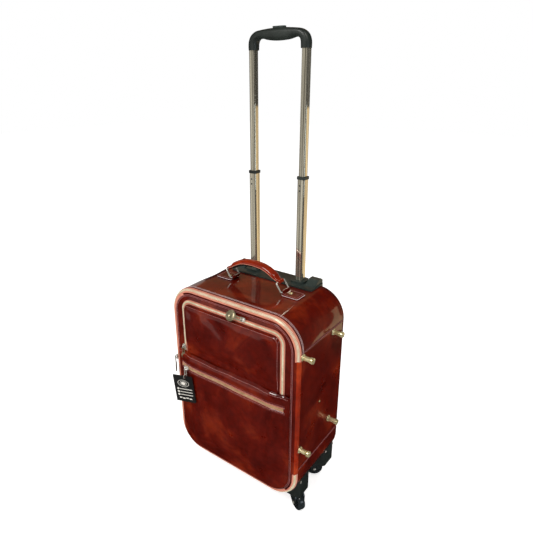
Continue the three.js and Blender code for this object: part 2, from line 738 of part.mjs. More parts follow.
// A slider and its pull. travel is the slider's direction, out the surface's outward normal, and lie the
// direction in which the pull lies from the slider. Gives the pull's pivot.
function buildSlider(name, pullName, { at, travel, out, lie, disc }) {
  const basis = (x, z) => {
    const y = new THREE.Vector3().crossVectors(z, x);
    return new THREE.Matrix4().makeBasis(x, y, z);
  };
  const t = new THREE.Vector3(...travel).normalize();
  const n = new THREE.Vector3(...out).normalize();
  const l = new THREE.Vector3(...lie).normalize();
  const place = new THREE.Vector3(...at);
  const slider = add(name, sliderSolid(Math.abs(t.dot(l)) < 0.5), brass);
  slider.quaternion.setFromRotationMatrix(basis(t, n));
  slider.position.copy(place);
  const pull = add(pullName, pullSolid(disc), brass);
  pull.quaternion.setFromRotationMatrix(basis(l, n));
  pull.position.copy(place).addScaledVector(n, SLIDER.thick + SLIDER.pivot);
  return pull.position;
}

function buildSliders() {
  const down = [0, 0, -1];
  const up = [0, 0, 1];
  const ahead = [0, -1, 0];
  // The main zip's slider on the left edge, standing on the lid's half of the zip.
  const edge = FRONT_ROUND * (1 - Math.SQRT1_2) - 0.5;
  buildSlider("main_slider", "main_pull", {
    at: [-SIDE + edge, FRONT + edge, MAIN_SLIDER_Z],
    travel: up,
    out: [-1, -1, 0],
    lie: down,
    disc: PULL.disc,
  });
  // On the upper pocket's zip: one on the top run, tilted up, and one at the low left end.
  const zipFace = FRONT - GAP - UPPER_ZIP_PROUD;
  buildSlider("upper_slider_a", "upper_pull_a", {
    at: [UPPER_SLIDER_X, zipFace - 3 * GAP, UPPER.top + 1],
    travel: [1, 0, 0],
    out: [0, -Math.cos(UPPER_TILT), Math.sin(UPPER_TILT)],
    lie: [-1, 0, 0],
    disc: PULL.disc,
  });
  buildSlider("upper_slider_b", "upper_pull_b", {
    at: [UPPER.left + 1, zipFace - GAP, UPPER_SLIDER_Z],
    travel: up,
    out: ahead,
    lie: down,
    disc: PULL.smallDisc,
  });
  // On the lower pocket's zip, near its left end. Its pull is a bare link, which the tag hangs from.
  const pivot = buildSlider("lower_slider", "lower_pull", {
    at: [LOWER_ZIP.left + LOWER_ZIP.parked, FRONT - LOWER.depth - GAP, LOWER_ZIP.z],
    travel: [1, 0, 0],
    out: ahead,
    lie: down,
    disc: 0,
  });
  buildTag(pivot);
}

// A card tag in front of the lower pull, on a wire ring through the pull's link.
function buildTag(pivot) {
  const r = TAG_RING;
  const linkZ = pivot.z - PULL.link + PULL.wire + r.wire + 2 * GAP;
  const ringY = pivot.y - r.behind;
  const ringZ = linkZ - Math.sqrt(r.radius ** 2 - r.behind ** 2);
  const ring = new THREE.TorusGeometry(r.radius, r.wire, 6, 20).rotateY(Math.PI / 2);
  add("tag_chain", ring, brass).position.set(pivot.x, ringY, ringZ);

  const t = TAG;
  const holeZ = ringZ - Math.sqrt(r.radius ** 2 - r.ahead ** 2);
  const right = t.width / 2 - t.holeAside;
  const outline = roundedRect(right - t.width, right, t.holeDown - t.height, t.holeDown, 1.5);
  const hole = new THREE.Path();
  hole.absarc(0, 0, t.hole, 0, Math.PI * 2, true);
  outline.holes.push(hole);
  const tag = add("hang_tag", plate(outline, -t.thick / 2, t.thick / 2, 0, 0, 6), card);
  tag.rotation.set(0, TAG_ROLL, TAG_YAW, "ZYX");
  tag.position.set(pivot.x, ringY - r.ahead, holeZ);
}

buildShell();
buildInside();
buildLidEdge();
buildLid();
buildUpperPocket();
buildLowerPocket();
buildPullHandle();
buildGrip();
buildBezel();
buildCarryHandle();
buildSideFeet();
buildSideHandle();
buildCasters();
buildSliders();

export default group;
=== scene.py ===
import json
import math

import bmesh
import bpy
import numpy as np
from mathutils import Matrix, Vector


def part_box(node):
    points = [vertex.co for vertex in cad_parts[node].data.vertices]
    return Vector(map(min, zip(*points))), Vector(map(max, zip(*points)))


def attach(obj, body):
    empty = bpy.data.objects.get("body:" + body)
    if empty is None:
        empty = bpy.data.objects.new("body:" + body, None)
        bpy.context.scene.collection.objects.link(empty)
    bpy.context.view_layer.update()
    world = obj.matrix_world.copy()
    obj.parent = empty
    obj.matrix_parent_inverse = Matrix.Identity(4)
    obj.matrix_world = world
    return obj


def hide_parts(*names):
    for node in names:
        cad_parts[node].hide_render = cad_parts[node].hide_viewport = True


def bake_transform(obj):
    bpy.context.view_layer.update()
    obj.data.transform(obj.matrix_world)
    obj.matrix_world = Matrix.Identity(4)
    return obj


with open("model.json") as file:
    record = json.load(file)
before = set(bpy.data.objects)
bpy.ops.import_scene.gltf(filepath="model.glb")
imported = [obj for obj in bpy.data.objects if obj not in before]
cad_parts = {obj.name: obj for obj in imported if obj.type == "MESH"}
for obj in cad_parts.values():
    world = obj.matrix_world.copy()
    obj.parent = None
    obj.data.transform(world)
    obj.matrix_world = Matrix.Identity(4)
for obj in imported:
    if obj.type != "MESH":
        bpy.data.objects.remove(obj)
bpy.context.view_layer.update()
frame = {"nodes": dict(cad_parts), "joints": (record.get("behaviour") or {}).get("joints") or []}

MM = 0.001


def mm(rows):
    """Rows of millimetres, in metres."""
    return [tuple(value * MM for value in row) for row in rows]


def low(node):
    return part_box(node)[0]


def high(node):
    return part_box(node)[1]


def middle(node):
    return (low(node) + high(node)) / 2


JOINT = {j["name"]: j for j in frame["joints"]}


def pivot(joint):
    return Vector(JOINT[joint]["pos_m"])


# ---- Places taken from the CAD frame -----------------------------------------------------------------

SIDE = high("case_side_right").x
TOP = high("case_top_wrap").z
BOTTOM = low("case_bottom_wrap").z
BACK = high("case_back_panel").y
FRONT = low("lid_panel").y
SHELL_FRONT = low("case_top_wrap").y
SHELL_BACK = high("case_top_wrap").y
SEAM_HIGH = high("case_side_right").z
SEAM_LOW = low("case_side_right").z
ZIP_HIGH = high("lid_hinge_strip").z
ZIP_LOW = low("lid_hinge_strip").z
CORNER = 67 * MM  # rounding of the case's four corners, seen from the front
EDGE = 11 * MM  # rounding of the front edge, which the main zip covers
BACK_ROUND = 12 * MM
WALL = 4 * MM

# ---- Mesh kit ----------------------------------------------------------------------------------------


class Shape:
    """Collects closed shells into one mesh. Each face keeps a material index."""

    def __init__(self):
        self.verts, self.faces, self.mats = [], [], []

    def add(self, verts, faces, mat=0):
        base = len(self.verts)
        self.verts.extend(tuple(float(c) for c in v) for v in verts)
        self.faces.extend(tuple(i + base for i in f) for f in faces)
        self.mats.extend([mat] * len(faces))

    def grid(self, points, around_u=False, around_v=False, caps=False, mat=0):
        """points[u][v]. caps closes the first and the last row of a shape that is closed around v."""
        p = np.asarray(points, float)
        nu, nv = p.shape[:2]
        faces = [
            tuple((a % nu) * nv + b % nv for a, b in ((i, j), (i + 1, j), (i + 1, j + 1), (i, j + 1)))
            for i in range(nu if around_u else nu - 1)
            for j in range(nv if around_v else nv - 1)
        ]
        if caps:
            faces.append(tuple(range(nv)))
            faces.append(tuple((nu - 1) * nv + j for j in range(nv)))
        self.add(p.reshape(-1, 3), faces, mat)

    def slab(self, outer, inner, mat=0, hole=None):
        """A sheet with thickness: an outer and an inner grid, walled along every open edge.
        hole[u][v] drops quads."""
        o, i = np.asarray(outer, float), np.asarray(inner, float)
        nu, nv = o.shape[:2]
        n = nu * nv
        faces, edges = [], set()
        for a in range(nu - 1):
            for b in range(nv - 1):
                if hole is not None and hole[a, b]:
                    continue
                q = (a * nv + b, (a + 1) * nv + b, (a + 1) * nv + b + 1, a * nv + b + 1)
                faces += [q, tuple(k + n for k in reversed(q))]
                for edge in zip(q, q[1:] + q[:1]):
                    edges.symmetric_difference_update({tuple(sorted(edge))})
        faces += [(p, q, q + n, p + n) for p, q in sorted(edges)]
        self.add(np.concatenate([o.reshape(-1, 3), i.reshape(-1, 3)]), faces, mat)

    def sweep(self, path, section, up, closed=False, mat=0, scale=None):
        """section [(across, up)] carried along path. up is one vector, or one for each point."""
        p = np.asarray(path, float)
        ups = np.broadcast_to(np.asarray(up, float), p.shape)
        if closed:
            t = np.roll(p, -1, 0) - np.roll(p, 1, 0)
        else:
            t = np.gradient(p, axis=0)
        t /= np.linalg.norm(t, axis=1)[:, None]
        side = np.cross(t, ups)
        side /= np.linalg.norm(side, axis=1)[:, None]
        top = np.cross(side, t)
        s = np.asarray(section, float)
        k = np.ones(len(p)) if scale is None else np.asarray(scale, float)
        points = (
            p[:, None]
            + side[:, None] * (s[None, :, :1] * k[:, None, None])
            + top[:, None] * (s[None, :, 1:] * k[:, None, None])
        )
        self.grid(points, around_u=closed, around_v=True, caps=not closed, mat=mat)

    def tube(self, path, radius, closed=False, sides=10, up=(0.13, 0.21, 1), mat=0, scale=None):
        self.sweep(path, circle(radius, sides), up, closed, mat, scale)

    def lathe(self, profile, origin, axis, steps=32, mat=0):
        """profile [(radius, along)], closed with a flat cap at each end."""
        z = Vector(axis).normalized()
        x = z.orthogonal().normalized()
        y = z.cross(x)
        rows = [
            [
                Vector(origin) + z * h + (x * math.cos(a) + y * math.sin(a)) * r
                for a in (2 * math.pi * k / steps for k in range(steps))
            ]
            for r, h in profile
        ]
        self.grid([[tuple(v) for v in row] for row in rows], around_v=True, caps=True, mat=mat)

    def hexa(self, c, mat=0):
        """Eight corners, in the order of three nested loops over the three directions."""
        self.add(c, [(0, 1, 3, 2), (4, 6, 7, 5), (0, 4, 5, 1), (2, 3, 7, 6), (0, 2, 6, 4), (1, 5, 7, 3)], mat)

    def stitches(self, path, ups, pitch=3.6 * MM, length=2.5 * MM, radius=0.38 * MM, lift=0.1 * MM, mat=0):
        """A row of thread stitches along a path, each sunk at its ends."""
        p = np.asarray(path, float)
        u = np.broadcast_to(np.asarray(ups, float), p.shape)
        run = np.concatenate([[0], np.cumsum(np.linalg.norm(np.diff(p, axis=0), axis=1))])
        count = max(1, int(run[-1] / pitch))
        along = (np.arange(count) + 0.5) * run[-1] / count
        at = lambda q, s: np.stack([np.interp(s, run, q[:, k]) for k in range(3)], -1)
        for s in along:
            a, c, b = at(p, [s - length / 2, s, s + length / 2])
            n = at(u, [s])[0]
            n = n / np.linalg.norm(n)
            ring = [a - n * radius * 0.9, a * 0.8 + c * 0.2 + n * lift, c + n * (lift + radius * 0.45),
                    b * 0.8 + c * 0.2 + n * lift, b - n * radius * 0.9]
            self.tube(ring, radius, sides=6, up=n, mat=mat, scale=[0.55, 0.95, 1, 0.95, 0.55])


def circle(radius, sides=12, flat=1.0):
    angles = [2 * math.pi * k / sides for k in range(sides)]
    return [(radius * math.cos(a), radius * flat * math.sin(a)) for a in angles]


def rounded(half_w, half_h, power=4, sides=28):
    """A superellipse section."""
    out = []
    for k in range(sides):
        a = 2 * math.pi * k / sides
        c, s = math.cos(a), math.sin(a)
        r = (abs(c) ** power + abs(s) ** power) ** (-1 / power)
        out.append((half_w * c * r, half_h * s * r))
    return out


def smooth(t):
    t = np.clip(t, 0, 1)
    return t * t * (3 - 2 * t)


def spread(a, b, step, fine=(0, 0.25, 0.6, 1.1, 1.7, 2.4, 3.4)):
    """Samples from a to b, closer together near both ends."""
    n = max(2, int(abs(b - a) / step))
    edges = np.array(fine) * MM
    return np.unique(np.round(np.concatenate([np.linspace(a, b, n), a + edges, b - edges]), 7))


def ripple(x, y, z, size, amount, seed):
    """Gentle unevenness: a sum of a few waves about size long, with a fixed seed."""
    rng = np.random.default_rng(seed)
    total = np.zeros(np.broadcast(x, y, z).shape)
    for _ in range(6):
        d = rng.normal(size=3)
        d *= 2 * math.pi / (size * rng.uniform(0.7, 1.6)) / np.linalg.norm(d)
        total = total + np.sin(d[0] * x + d[1] * y + d[2] * z + rng.uniform(0, 2 * math.pi))
    return total * amount / 3


def rolled(d, reach, drop):
    """How far a turned edge falls away at a distance d from the edge."""
    t = 1 - np.clip(d / reach, 0, 1)
    return drop * (1 - np.sqrt(np.clip(1 - t * t, 0, 1)))


class Outline:
    """A rounded rectangle in x and z, walked up the right side, over the top, down the left and back."""

    def __init__(self, left, right, bottom, top, radius):
        tall, wide, arc = top - bottom - 2 * radius, right - left - 2 * radius, radius * math.pi / 2
        self.radius = radius
        self.parts = [
            (tall, (right, bottom + radius), (0, 1), None),
            (arc, (right - radius, top - radius), None, 0),
            (wide, (right - radius, top), (-1, 0), None),
            (arc, (left + radius, top - radius), None, 1),
            (tall, (left, top - radius), (0, -1), None),
            (arc, (left + radius, bottom + radius), None, 2),
            (wide, (left + radius, bottom), (1, 0), None),
            (arc, (right - radius, bottom + radius), None, 3),
        ]
        self.total = sum(p[0] for p in self.parts)
        self.starts = np.cumsum([0] + [p[0] for p in self.parts])

    def at(self, s):
        """Place and outward normal at a distance s along the line: x, z, nx, nz."""
        s = np.asarray(s, float) % self.total
        x, z, nx, nz = (np.zeros(s.shape) for _ in range(4))
        for k, (length, at, way, quarter) in enumerate(self.parts):
            here = (s >= self.starts[k]) & (s <= self.starts[k + 1])
            t = s - self.starts[k]
            if way:
                px, pz = at[0] + way[0] * t, at[1] + way[1] * t
                qx, qz = np.full(s.shape, way[1]), np.full(s.shape, -way[0])
            else:
                a = quarter * math.pi / 2 + t / self.radius
                qx, qz = np.cos(a), np.sin(a)
                px, pz = at[0] + self.radius * qx, at[1] + self.radius * qz
            x, z = np.where(here, px, x), np.where(here, pz, z)
            nx, nz = np.where(here, qx, nx), np.where(here, qz, nz)
        return x, z, nx, nz

    def right_at(self, height):
        return height - self.parts[0][1][1]

    def left_at(self, height):
        return self.starts[4] + self.parts[4][1][1] - height


def pad(shape, outline, height, base, place, insets, core=14, step=4 * MM, mat=0):
    """A closed crowned pad over an outline. height(u, v, d) is its height where d is the distance to the edge,
    base the height of its flat back, and place(u, v, h) gives the point in space."""
    s = np.linspace(0, outline.total, max(24, int(outline.total / step)), endpoint=False)
    x, z, nx, nz = outline.at(s)
    cx, cz = (x.min() + x.max()) / 2, (z.min() + z.max()) / 2
    rows = [place(x, z, np.full(x.shape, base))]
    for d in insets:
        u, v = x - nx * d, z - nz * d
        rows.append(place(u, v, height(u, v, np.full(x.shape, d))))
    last = insets[-1]
    u0, v0 = x - nx * last, z - nz * last
    reach = min(x.max() - x.min(), z.max() - z.min()) / 2 - last
    for k in range(1, core + 1):
        t = 1 - 0.985 * (k / core)
        u, v = cx + (u0 - cx) * t, cz + (v0 - cz) * t
        rows.append(place(u, v, height(u, v, np.full(x.shape, last + (1 - t) * reach))))
    shape.grid(np.stack(rows), around_v=True, caps=True, mat=mat)


def stack(*columns):
    return np.stack(np.broadcast_arrays(*columns), -1)


def piece(name, shape, looks, body, replaces=(), sharp=35):
    """Makes the object, with its normals facing out, and hangs it on its body."""
    mesh = bpy.data.meshes.new(name)
    mesh.from_pydata(shape.verts, [], shape.faces)
    looks = looks if isinstance(looks, (list, tuple)) else [looks]
    for look in looks:
        mesh.materials.append(look)
    mesh.polygons.foreach_set("material_index", shape.mats)
    bm = bmesh.new()
    bm.from_mesh(mesh)
    bmesh.ops.recalc_face_normals(bm, faces=bm.faces)
    bm.to_mesh(mesh)
    bm.free()
    mesh.polygons.foreach_set("use_smooth", [True] * len(mesh.polygons))
    mesh.set_sharp_from_angle(angle=math.radians(sharp))
    made = bpy.data.objects.new(name, mesh)
    bpy.context.scene.collection.objects.link(made)
    if body:
        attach(made, body)
    if replaces:
        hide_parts(*replaces)
    return made


# ---- Materials ---------------------------------------------------------------------------------------


class Look:
    """A Principled material built from procedural nodes in the part's own coordinates."""

    def __init__(self, name, **sockets):
        self.material = bpy.data.materials.new(name)
        self.material.use_nodes = True
        self.tree = self.material.node_tree
        self.shader = self.tree.nodes["Principled BSDF"]
        self.coords = self.new("TexCoord").outputs["Object"]
        for key, value in sockets.items():
            self.shader.inputs[key.replace("_", " ")].default_value = value

    def new(self, kind):
        return self.tree.nodes.new("ShaderNode" + kind)

    def link(self, a, b):
        self.tree.links.new(a, b)

    def stretched(self, scale):
        node = self.new("Mapping")
        node.inputs["Scale"].default_value = scale
        self.link(self.coords, node.inputs["Vector"])
        return node.outputs["Vector"]

    def noise(self, scale, detail=3.0, rough=0.5, stretch=None, distortion=0.0):
        node = self.new("TexNoise")
        node.inputs["Scale"].default_value = scale
        node.inputs["Detail"].default_value = detail
        node.inputs["Roughness"].default_value = rough
        node.inputs["Distortion"].default_value = distortion
        self.link(self.stretched(stretch) if stretch else self.coords, node.inputs["Vector"])
        return node.outputs["Fac"]

    def cells(self, scale, feature="F1"):
        node = self.new("TexVoronoi")
        node.feature = feature
        node.inputs["Scale"].default_value = scale
        self.link(self.coords, node.inputs["Vector"])
        return node.outputs["Distance"]

    def wave(self, scale, direction, distortion=0.0):
        node = self.new("TexWave")
        node.bands_direction = direction
        node.inputs["Scale"].default_value = scale
        node.inputs["Distortion"].default_value = distortion
        self.link(self.coords, node.inputs["Vector"])
        return node.outputs["Fac"]

    def ramp(self, factor, stops):
        node = self.new("ValToRGB")
        while len(node.color_ramp.elements) < len(stops):
            node.color_ramp.elements.new(0.5)
        for element, (place, color) in zip(node.color_ramp.elements, stops):
            element.position = place
            element.color = (*color, 1) if len(color) == 3 else color
        self.link(factor, node.inputs["Fac"])
        return node.outputs["Color"]

    def span(self, factor, low_value, high_value, start=0.3, end=0.7):
        node = self.new("MapRange")
        ends = {"From Min": start, "From Max": end, "To Min": low_value, "To Max": high_value}
        for key, value in ends.items():
            node.inputs[key].default_value = value
        self.link(factor, node.inputs["Value"])
        return node.outputs["Result"]

    def mix(self, factor, a, b, blend="MIX"):
        node = self.new("MixRGB")
        node.blend_type = blend
        for socket, value in ((node.inputs[0], factor), (node.inputs[1], a), (node.inputs[2], b)):
            if isinstance(value, bpy.types.NodeSocket):
                self.link(value, socket)
            elif isinstance(value, (int, float)):
                socket.default_value = value
            else:
                socket.default_value = (*value, 1)
        return node.outputs[0]

    def sum(self, a, b, weight=1.0):
        node = self.new("Math")
        node.operation = "MULTIPLY_ADD"
        self.link(b, node.inputs[0])
        node.inputs[1].default_value = weight
        self.link(a, node.inputs[2])
        return node.outputs[0]

    def color(self, socket):
        self.link(socket, self.shader.inputs["Base Color"])

    def roughness(self, socket):
        self.link(socket, self.shader.inputs["Roughness"])

    def bump(self, height, distance, strength=1.0):
        node = self.new("Bump")
        node.inputs["Strength"].default_value = strength
        node.inputs["Distance"].default_value = distance
        self.link(height, node.inputs["Height"])
        self.link(node.outputs["Normal"], self.shader.inputs["Normal"])


def leather(name, dark, mid, light, rough=(0.26, 0.42), coat=0.8, grain=0.05 * MM, creases=0.11 * MM):
    """Polished cowhide: mottled dye, fine pores, soft creases and a hard shine."""
    look = Look(name, Coat_Weight=coat, Coat_Roughness=0.045, Coat_IOR=1.5, Specular_IOR_Level=0.12)
    blotch = look.noise(11, 5, 0.62, distortion=0.5)
    fine = look.noise(70, 5, 0.65)
    base = look.ramp(blotch, [(0.28, dark), (0.52, mid), (0.78, light)])
    pores = look.cells(380)
    look.color(look.mix(1.0, base, look.span(fine, 0.72, 1.18), "MULTIPLY"))
    look.roughness(look.span(look.noise(30, 4, 0.6), *rough))
    long_creases = look.noise(24, 2, 0.5, stretch=(1.0, 1.0, 1.8))
    height = look.sum(look.sum(look.noise(260, 2, 0.5), pores, 0.35), long_creases, creases / grain)
    look.bump(height, grain)
    return look.material


RED = leather("case_leather", (0.040, 0.0008, 0.0002), (0.096, 0.0036, 0.0005), (0.24, 0.021, 0.0020))
# The bright leather also serves as a painted highlight on the side of the hinge strip.
BRIGHT = leather("bright_leather", (0.14, 0.0055, 0.0008), (0.27, 0.018, 0.0018), (0.46, 0.055, 0.006))
UNDER = leather(
    "dark_underside", (0.010, 0.010, 0.009), (0.018, 0.017, 0.015), (0.03, 0.027, 0.022), (0.45, 0.6), 0.15
)


def cloth(name, dark, light, threads, rough=0.8, depth=0.15 * MM):
    """Woven cloth: crossing threads with uneven dye."""
    look = Look(name, Sheen_Weight=0.25, Sheen_Roughness=0.5, Roughness=rough)
    warp, weft = look.wave(threads, "X", 0.4), look.wave(threads, "Z", 0.4)
    weave = look.mix(0.5, warp, weft)
    tone = look.mix(0.35, look.noise(40, 4, 0.6), weave)
    look.color(look.ramp(tone, [(0.25, dark), (0.75, light)]))
    look.bump(look.sum(weave, look.noise(900, 2, 0.5), 0.5), depth)
    return look.material


TAPE = cloth("zip_tape", (0.44, 0.115, 0.062), (0.72, 0.26, 0.165), 700)
TAPE_DARK = cloth("pocket_zip_tape", (0.34, 0.10, 0.055), (0.56, 0.22, 0.13), 700)
LINING = cloth("lining_cloth", (0.045, 0.026, 0.016), (0.13, 0.08, 0.055), 320, 0.85)
PINK = cloth("stitch_thread", (0.42, 0.13, 0.12), (0.66, 0.30, 0.27), 1500, 0.6, 0.05 * MM)
PIPING = cloth("piping_cord", (0.13, 0.018, 0.02), (0.34, 0.085, 0.08), 900, 0.5, 0.05 * MM)
PALE = cloth("pale_thread", (0.55, 0.36, 0.36), (0.85, 0.70, 0.70), 1500, 0.6, 0.05 * MM)


def metal(name, dark, light, rough=(0.14, 0.3), scratch=0.02 * MM, blotch=60, grain=(1, 1, 1), metallic=1.0):
    """Plated metal: tarnish clouds, fine wear lines and uneven polish. Where the lines are stretched, they also colour
    the metal in light and dark streaks: painted reflection.
    """
    look = Look(name, Metallic=metallic)
    cloud = look.noise(blotch, 4, 0.6)
    lines = look.noise(500, 3, 0.6, stretch=grain)
    painted_streaks = grain[0] != grain[2]
    # On stretched grain the colour follows the lines: light and dark streaks painted in as reflection.
    look.color(look.ramp(lines if painted_streaks else cloud, [(0.3, dark), (0.65, light)]))
    look.roughness(look.span(look.mix(0.5, cloud, lines), *rough))
    look.bump(lines, scratch, 0.6)
    return look.material


BRASS = metal("brass", (0.50, 0.40, 0.16), (0.92, 0.82, 0.50), metallic=0.65)
NICKEL = metal("pale_brass", (0.66, 0.63, 0.54), (0.95, 0.93, 0.86), (0.08, 0.2), metallic=0.6)
BRONZE = metal("old_bronze", (0.15, 0.125, 0.07), (0.44, 0.38, 0.24), (0.2, 0.4), metallic=0.6)
TEETH = metal("zip_teeth", (0.70, 0.64, 0.42), (0.95, 0.92, 0.70), (0.25, 0.4), metallic=0.25)
GILT = metal("gilt_teeth", (0.40, 0.27, 0.12), (0.70, 0.52, 0.28), (0.25, 0.4), metallic=0.4)
# Chrome tubes: their colour runs from dark to pale in long streaks, painted reflection; the same lines also give wear
# lines in the bump and roughness.
CHROME = metal(
    "chrome_tube", (0.13, 0.115, 0.085), (0.88, 0.82, 0.66), (0.035, 0.11), 0.004 * MM, 12, (0.6, 0.6, 0.005),
    metallic=0.85,
)
STEEL = metal("plain_steel", (0.35, 0.35, 0.34), (0.55, 0.55, 0.54), (0.3, 0.5))


def plastic(name, dark, light, rough=(0.34, 0.5), pebble=0.05 * MM):
    """Moulded plastic: a fine spark-eroded texture, scuffs and faint flow marks."""
    look = Look(name, Specular_IOR_Level=0.5)
    flow = look.noise(22, 3, 0.5, stretch=(1, 1, 0.4))
    look.color(look.ramp(flow, [(0.3, dark), (0.7, light)]))
    look.roughness(look.span(look.noise(120, 4, 0.6), *rough))
    look.bump(look.sum(look.noise(1400, 2, 0.5), look.cells(1100), 0.5), pebble, 0.5)
    return look.material


PLASTIC = plastic("black_plastic", (0.009, 0.012, 0.010), (0.022, 0.028, 0.024))
BEZEL = plastic("bezel_plastic", (0.016, 0.024, 0.021), (0.036, 0.050, 0.044), (0.30, 0.45))
WHEEL = plastic("wheel_tread", (0.010, 0.013, 0.014), (0.024, 0.030, 0.033), (0.12, 0.22), 0.01 * MM)
FORK = plastic("fork_plastic", (0.010, 0.012, 0.012), (0.022, 0.026, 0.026), (0.2, 0.35), 0.02 * MM)
CARD = plastic("tag_card", (0.006, 0.006, 0.006), (0.016, 0.016, 0.015), (0.35, 0.5), 0.02 * MM)
PRINT = plastic("tag_print", (0.55, 0.52, 0.46), (0.80, 0.78, 0.72), (0.4, 0.6), 0.01 * MM)


def board_look():
    look = Look("fibreboard", Roughness=0.85)
    fibres = look.noise(160, 6, 0.7, stretch=(1, 1, 3))
    look.color(look.ramp(fibres, [(0.3, (0.10, 0.07, 0.045)), (0.7, (0.24, 0.17, 0.11))]))
    look.bump(look.noise(700, 4, 0.6), 0.2 * MM)
    return look.material


BOARD = board_look()

# ---- Leather shell -----------------------------------------------------------------------------------

case = Outline(-SIDE, SIDE, BOTTOM, TOP, CORNER)
SEAM = 0.35 * MM  # half of the gap between two leather panels
TOOTH_PITCH = 1.35 * MM
TOOTH_HALF = 0.52 * MM


def shell_panel(name, start, end, node, seed, wavy=0.35 * MM, slots=None):
    """One panel of the wrap: edges turned under along its seams, and a slightly uneven face.
    slots holds the borders of the notches at its back edge: along the panel, and the depth they start at."""
    along, deep = slots or ([], SHELL_BACK)
    s, y = np.meshgrid(
        np.union1d(spread(start + SEAM, end - SEAM, 5 * MM), along),
        np.union1d(spread(SHELL_FRONT, SHELL_BACK, 5 * MM), [deep]),
        indexing="ij",
    )
    mid_s, mid_y = (s[1:, 1:] + s[:-1, :-1]) / 2, (y[1:, 1:] + y[:-1, :-1]) / 2
    hole = (mid_y > deep) & (np.searchsorted(np.sort(along), mid_s) % 2 == 1)
    x, z, nx, nz = case.at(s)
    d = np.minimum.reduce([s - start - SEAM, end - SEAM - s, y - SHELL_FRONT, SHELL_BACK - y])
    swell = ripple(x, y, z, 0.11, wavy, seed) * smooth(d / (14 * MM))
    inset = rolled(d, 2.6 * MM, 1.5 * MM) - swell + 0.25 * MM
    shape = Shape()
    shape.slab(stack(x - nx * inset, y, z - nz * inset), stack(x - nx * WALL, y, z - nz * WALL), hole=hole)
    return piece(name, shape, RED, "case", [node])


RIGHT_LOW, RIGHT_HIGH = case.right_at(SEAM_LOW), case.right_at(SEAM_HIGH)
LEFT_HIGH, LEFT_LOW = case.left_at(SEAM_HIGH), case.left_at(SEAM_LOW)
TUBE_SLOTS = [
    case.starts[2] + SIDE - CORNER - edge(node).x
    for node in ("outer_tube_left", "outer_tube_right")
    for edge in (low, high)
]
notches = (TUBE_SLOTS, low("outer_tube_left").y)
shell_panel("leather_top", RIGHT_HIGH, LEFT_HIGH, "case_top_wrap", 3, 0.7 * MM, notches)
shell_panel("leather_side_right", RIGHT_LOW, RIGHT_HIGH, "case_side_right", 5)
shell_panel("leather_side_left", LEFT_HIGH, LEFT_LOW, "case_side_left", 7)
shell_panel("leather_bottom", LEFT_LOW, RIGHT_LOW + case.total, "case_bottom_wrap", 9)


def back_panel():
    """The back: a rounded rim and one large face."""
    quarter = np.linspace(0, math.pi / 2, 9)
    arc = [(BACK_ROUND * (1 - math.cos(a)), BACK_ROUND * (1 - math.sin(a))) for a in quarter]
    s = np.linspace(0, case.total, 300, endpoint=False)
    x, z, nx, nz = case.at(s)
    rows = [stack(x - nx * WALL, SHELL_BACK, z - nz * WALL)]
    for i, d in arc:
        turned = i + rolled(BACK_ROUND - d, 2 * MM, MM)
        rows.append(stack(x - nx * turned, BACK - d, z - nz * i))
    cz = (TOP + BOTTOM) / 2
    u0, v0 = x - nx * BACK_ROUND, z - nz * BACK_ROUND
    for k in range(1, 26):
        t = 1 - 0.985 * k / 25
        u, v = u0 * t, cz + (v0 - cz) * t
        dent = ripple(u, 0, v, 0.16, 0.35 * MM, 11) * smooth((1 - t) * 6)
        rows.append(stack(u, BACK - 0.3 * MM + np.minimum(dent, 0.3 * MM), v))
    rows.append(stack(u, np.full(u.shape, BACK - WALL), v))
    rows.append(stack(u0, np.full(u.shape, BACK - WALL), v0))
    shape = Shape()
    shape.grid(np.stack(rows), around_u=True, around_v=True)
    ups = stack(0, np.ones(x.shape), 0)
    i = 17 * MM
    shape.stitches(stack(x - nx * i, BACK, z - nz * i), ups, mat=1)
    return piece("leather_back", shape, [RED, PINK], "case", ["case_back_panel"])


back_panel()


def seams():
    """Piping and stitches on the body: along the panel seams, and beside the main zip."""
    shape = Shape()
    for s in (RIGHT_HIGH, RIGHT_LOW, LEFT_HIGH, LEFT_LOW):
        y = np.linspace(SHELL_FRONT + MM, SHELL_BACK, 40)
        x, z, nx, nz = case.at(np.full(y.shape, s))
        shape.tube(stack(x - nx * 0.7 * MM, y, z - nz * 0.7 * MM), 0.8 * MM, sides=8, mat=2)
        up = stack(nx, 0, nz)
        x, z, nx, nz = case.at(np.full(y.shape, s + 4.2 * MM))
        shape.stitches(stack(x, y, z), up, mat=2, radius=0.25 * MM)
    for depth in (3.4 * MM, 6.2 * MM):
        s = np.linspace(RIGHT_HIGH - 13 * MM, LEFT_HIGH + 13 * MM, 400)
        x, z, nx, nz = case.at(s)
        shape.stitches(stack(x, SHELL_FRONT + depth, z), stack(nx, 0, nz), mat=1, pitch=3.4 * MM)
    piece("body_seams", shape, [PINK, PALE, PIPING], "case")


seams()

# ---- Main zip and hinge strip ------------------------------------------------------------------------


def edge_at(s, degrees, radius):
    """A point over the rounded front edge: 0 degrees at the side and 90 at the front."""
    x, z, nx, nz = case.at(s)
    a = np.radians(degrees)
    inset, depth = EDGE - radius * np.cos(a), EDGE - radius * np.sin(a)
    return stack(x - nx * inset, FRONT + depth, z - nz * inset)


def edge_sweep(shape, s, section, mat=0):
    rows = np.stack([edge_at(s, a, r) for a, r in section], 1)
    shape.grid(rows, around_v=True, caps=True, mat=mat)


def strip(start, end, low_radius, high_radius, swell=0.0, steps=8):
    """A section between two angles: outer line first, then back along the inner one."""
    t = np.linspace(0, 1, steps)
    angles = start + (end - start) * t
    outer = [(a, high_radius + swell * math.sin(math.pi * k)) for a, k in zip(angles, t)]
    return outer + [(a, low_radius) for a in angles[::-1]]


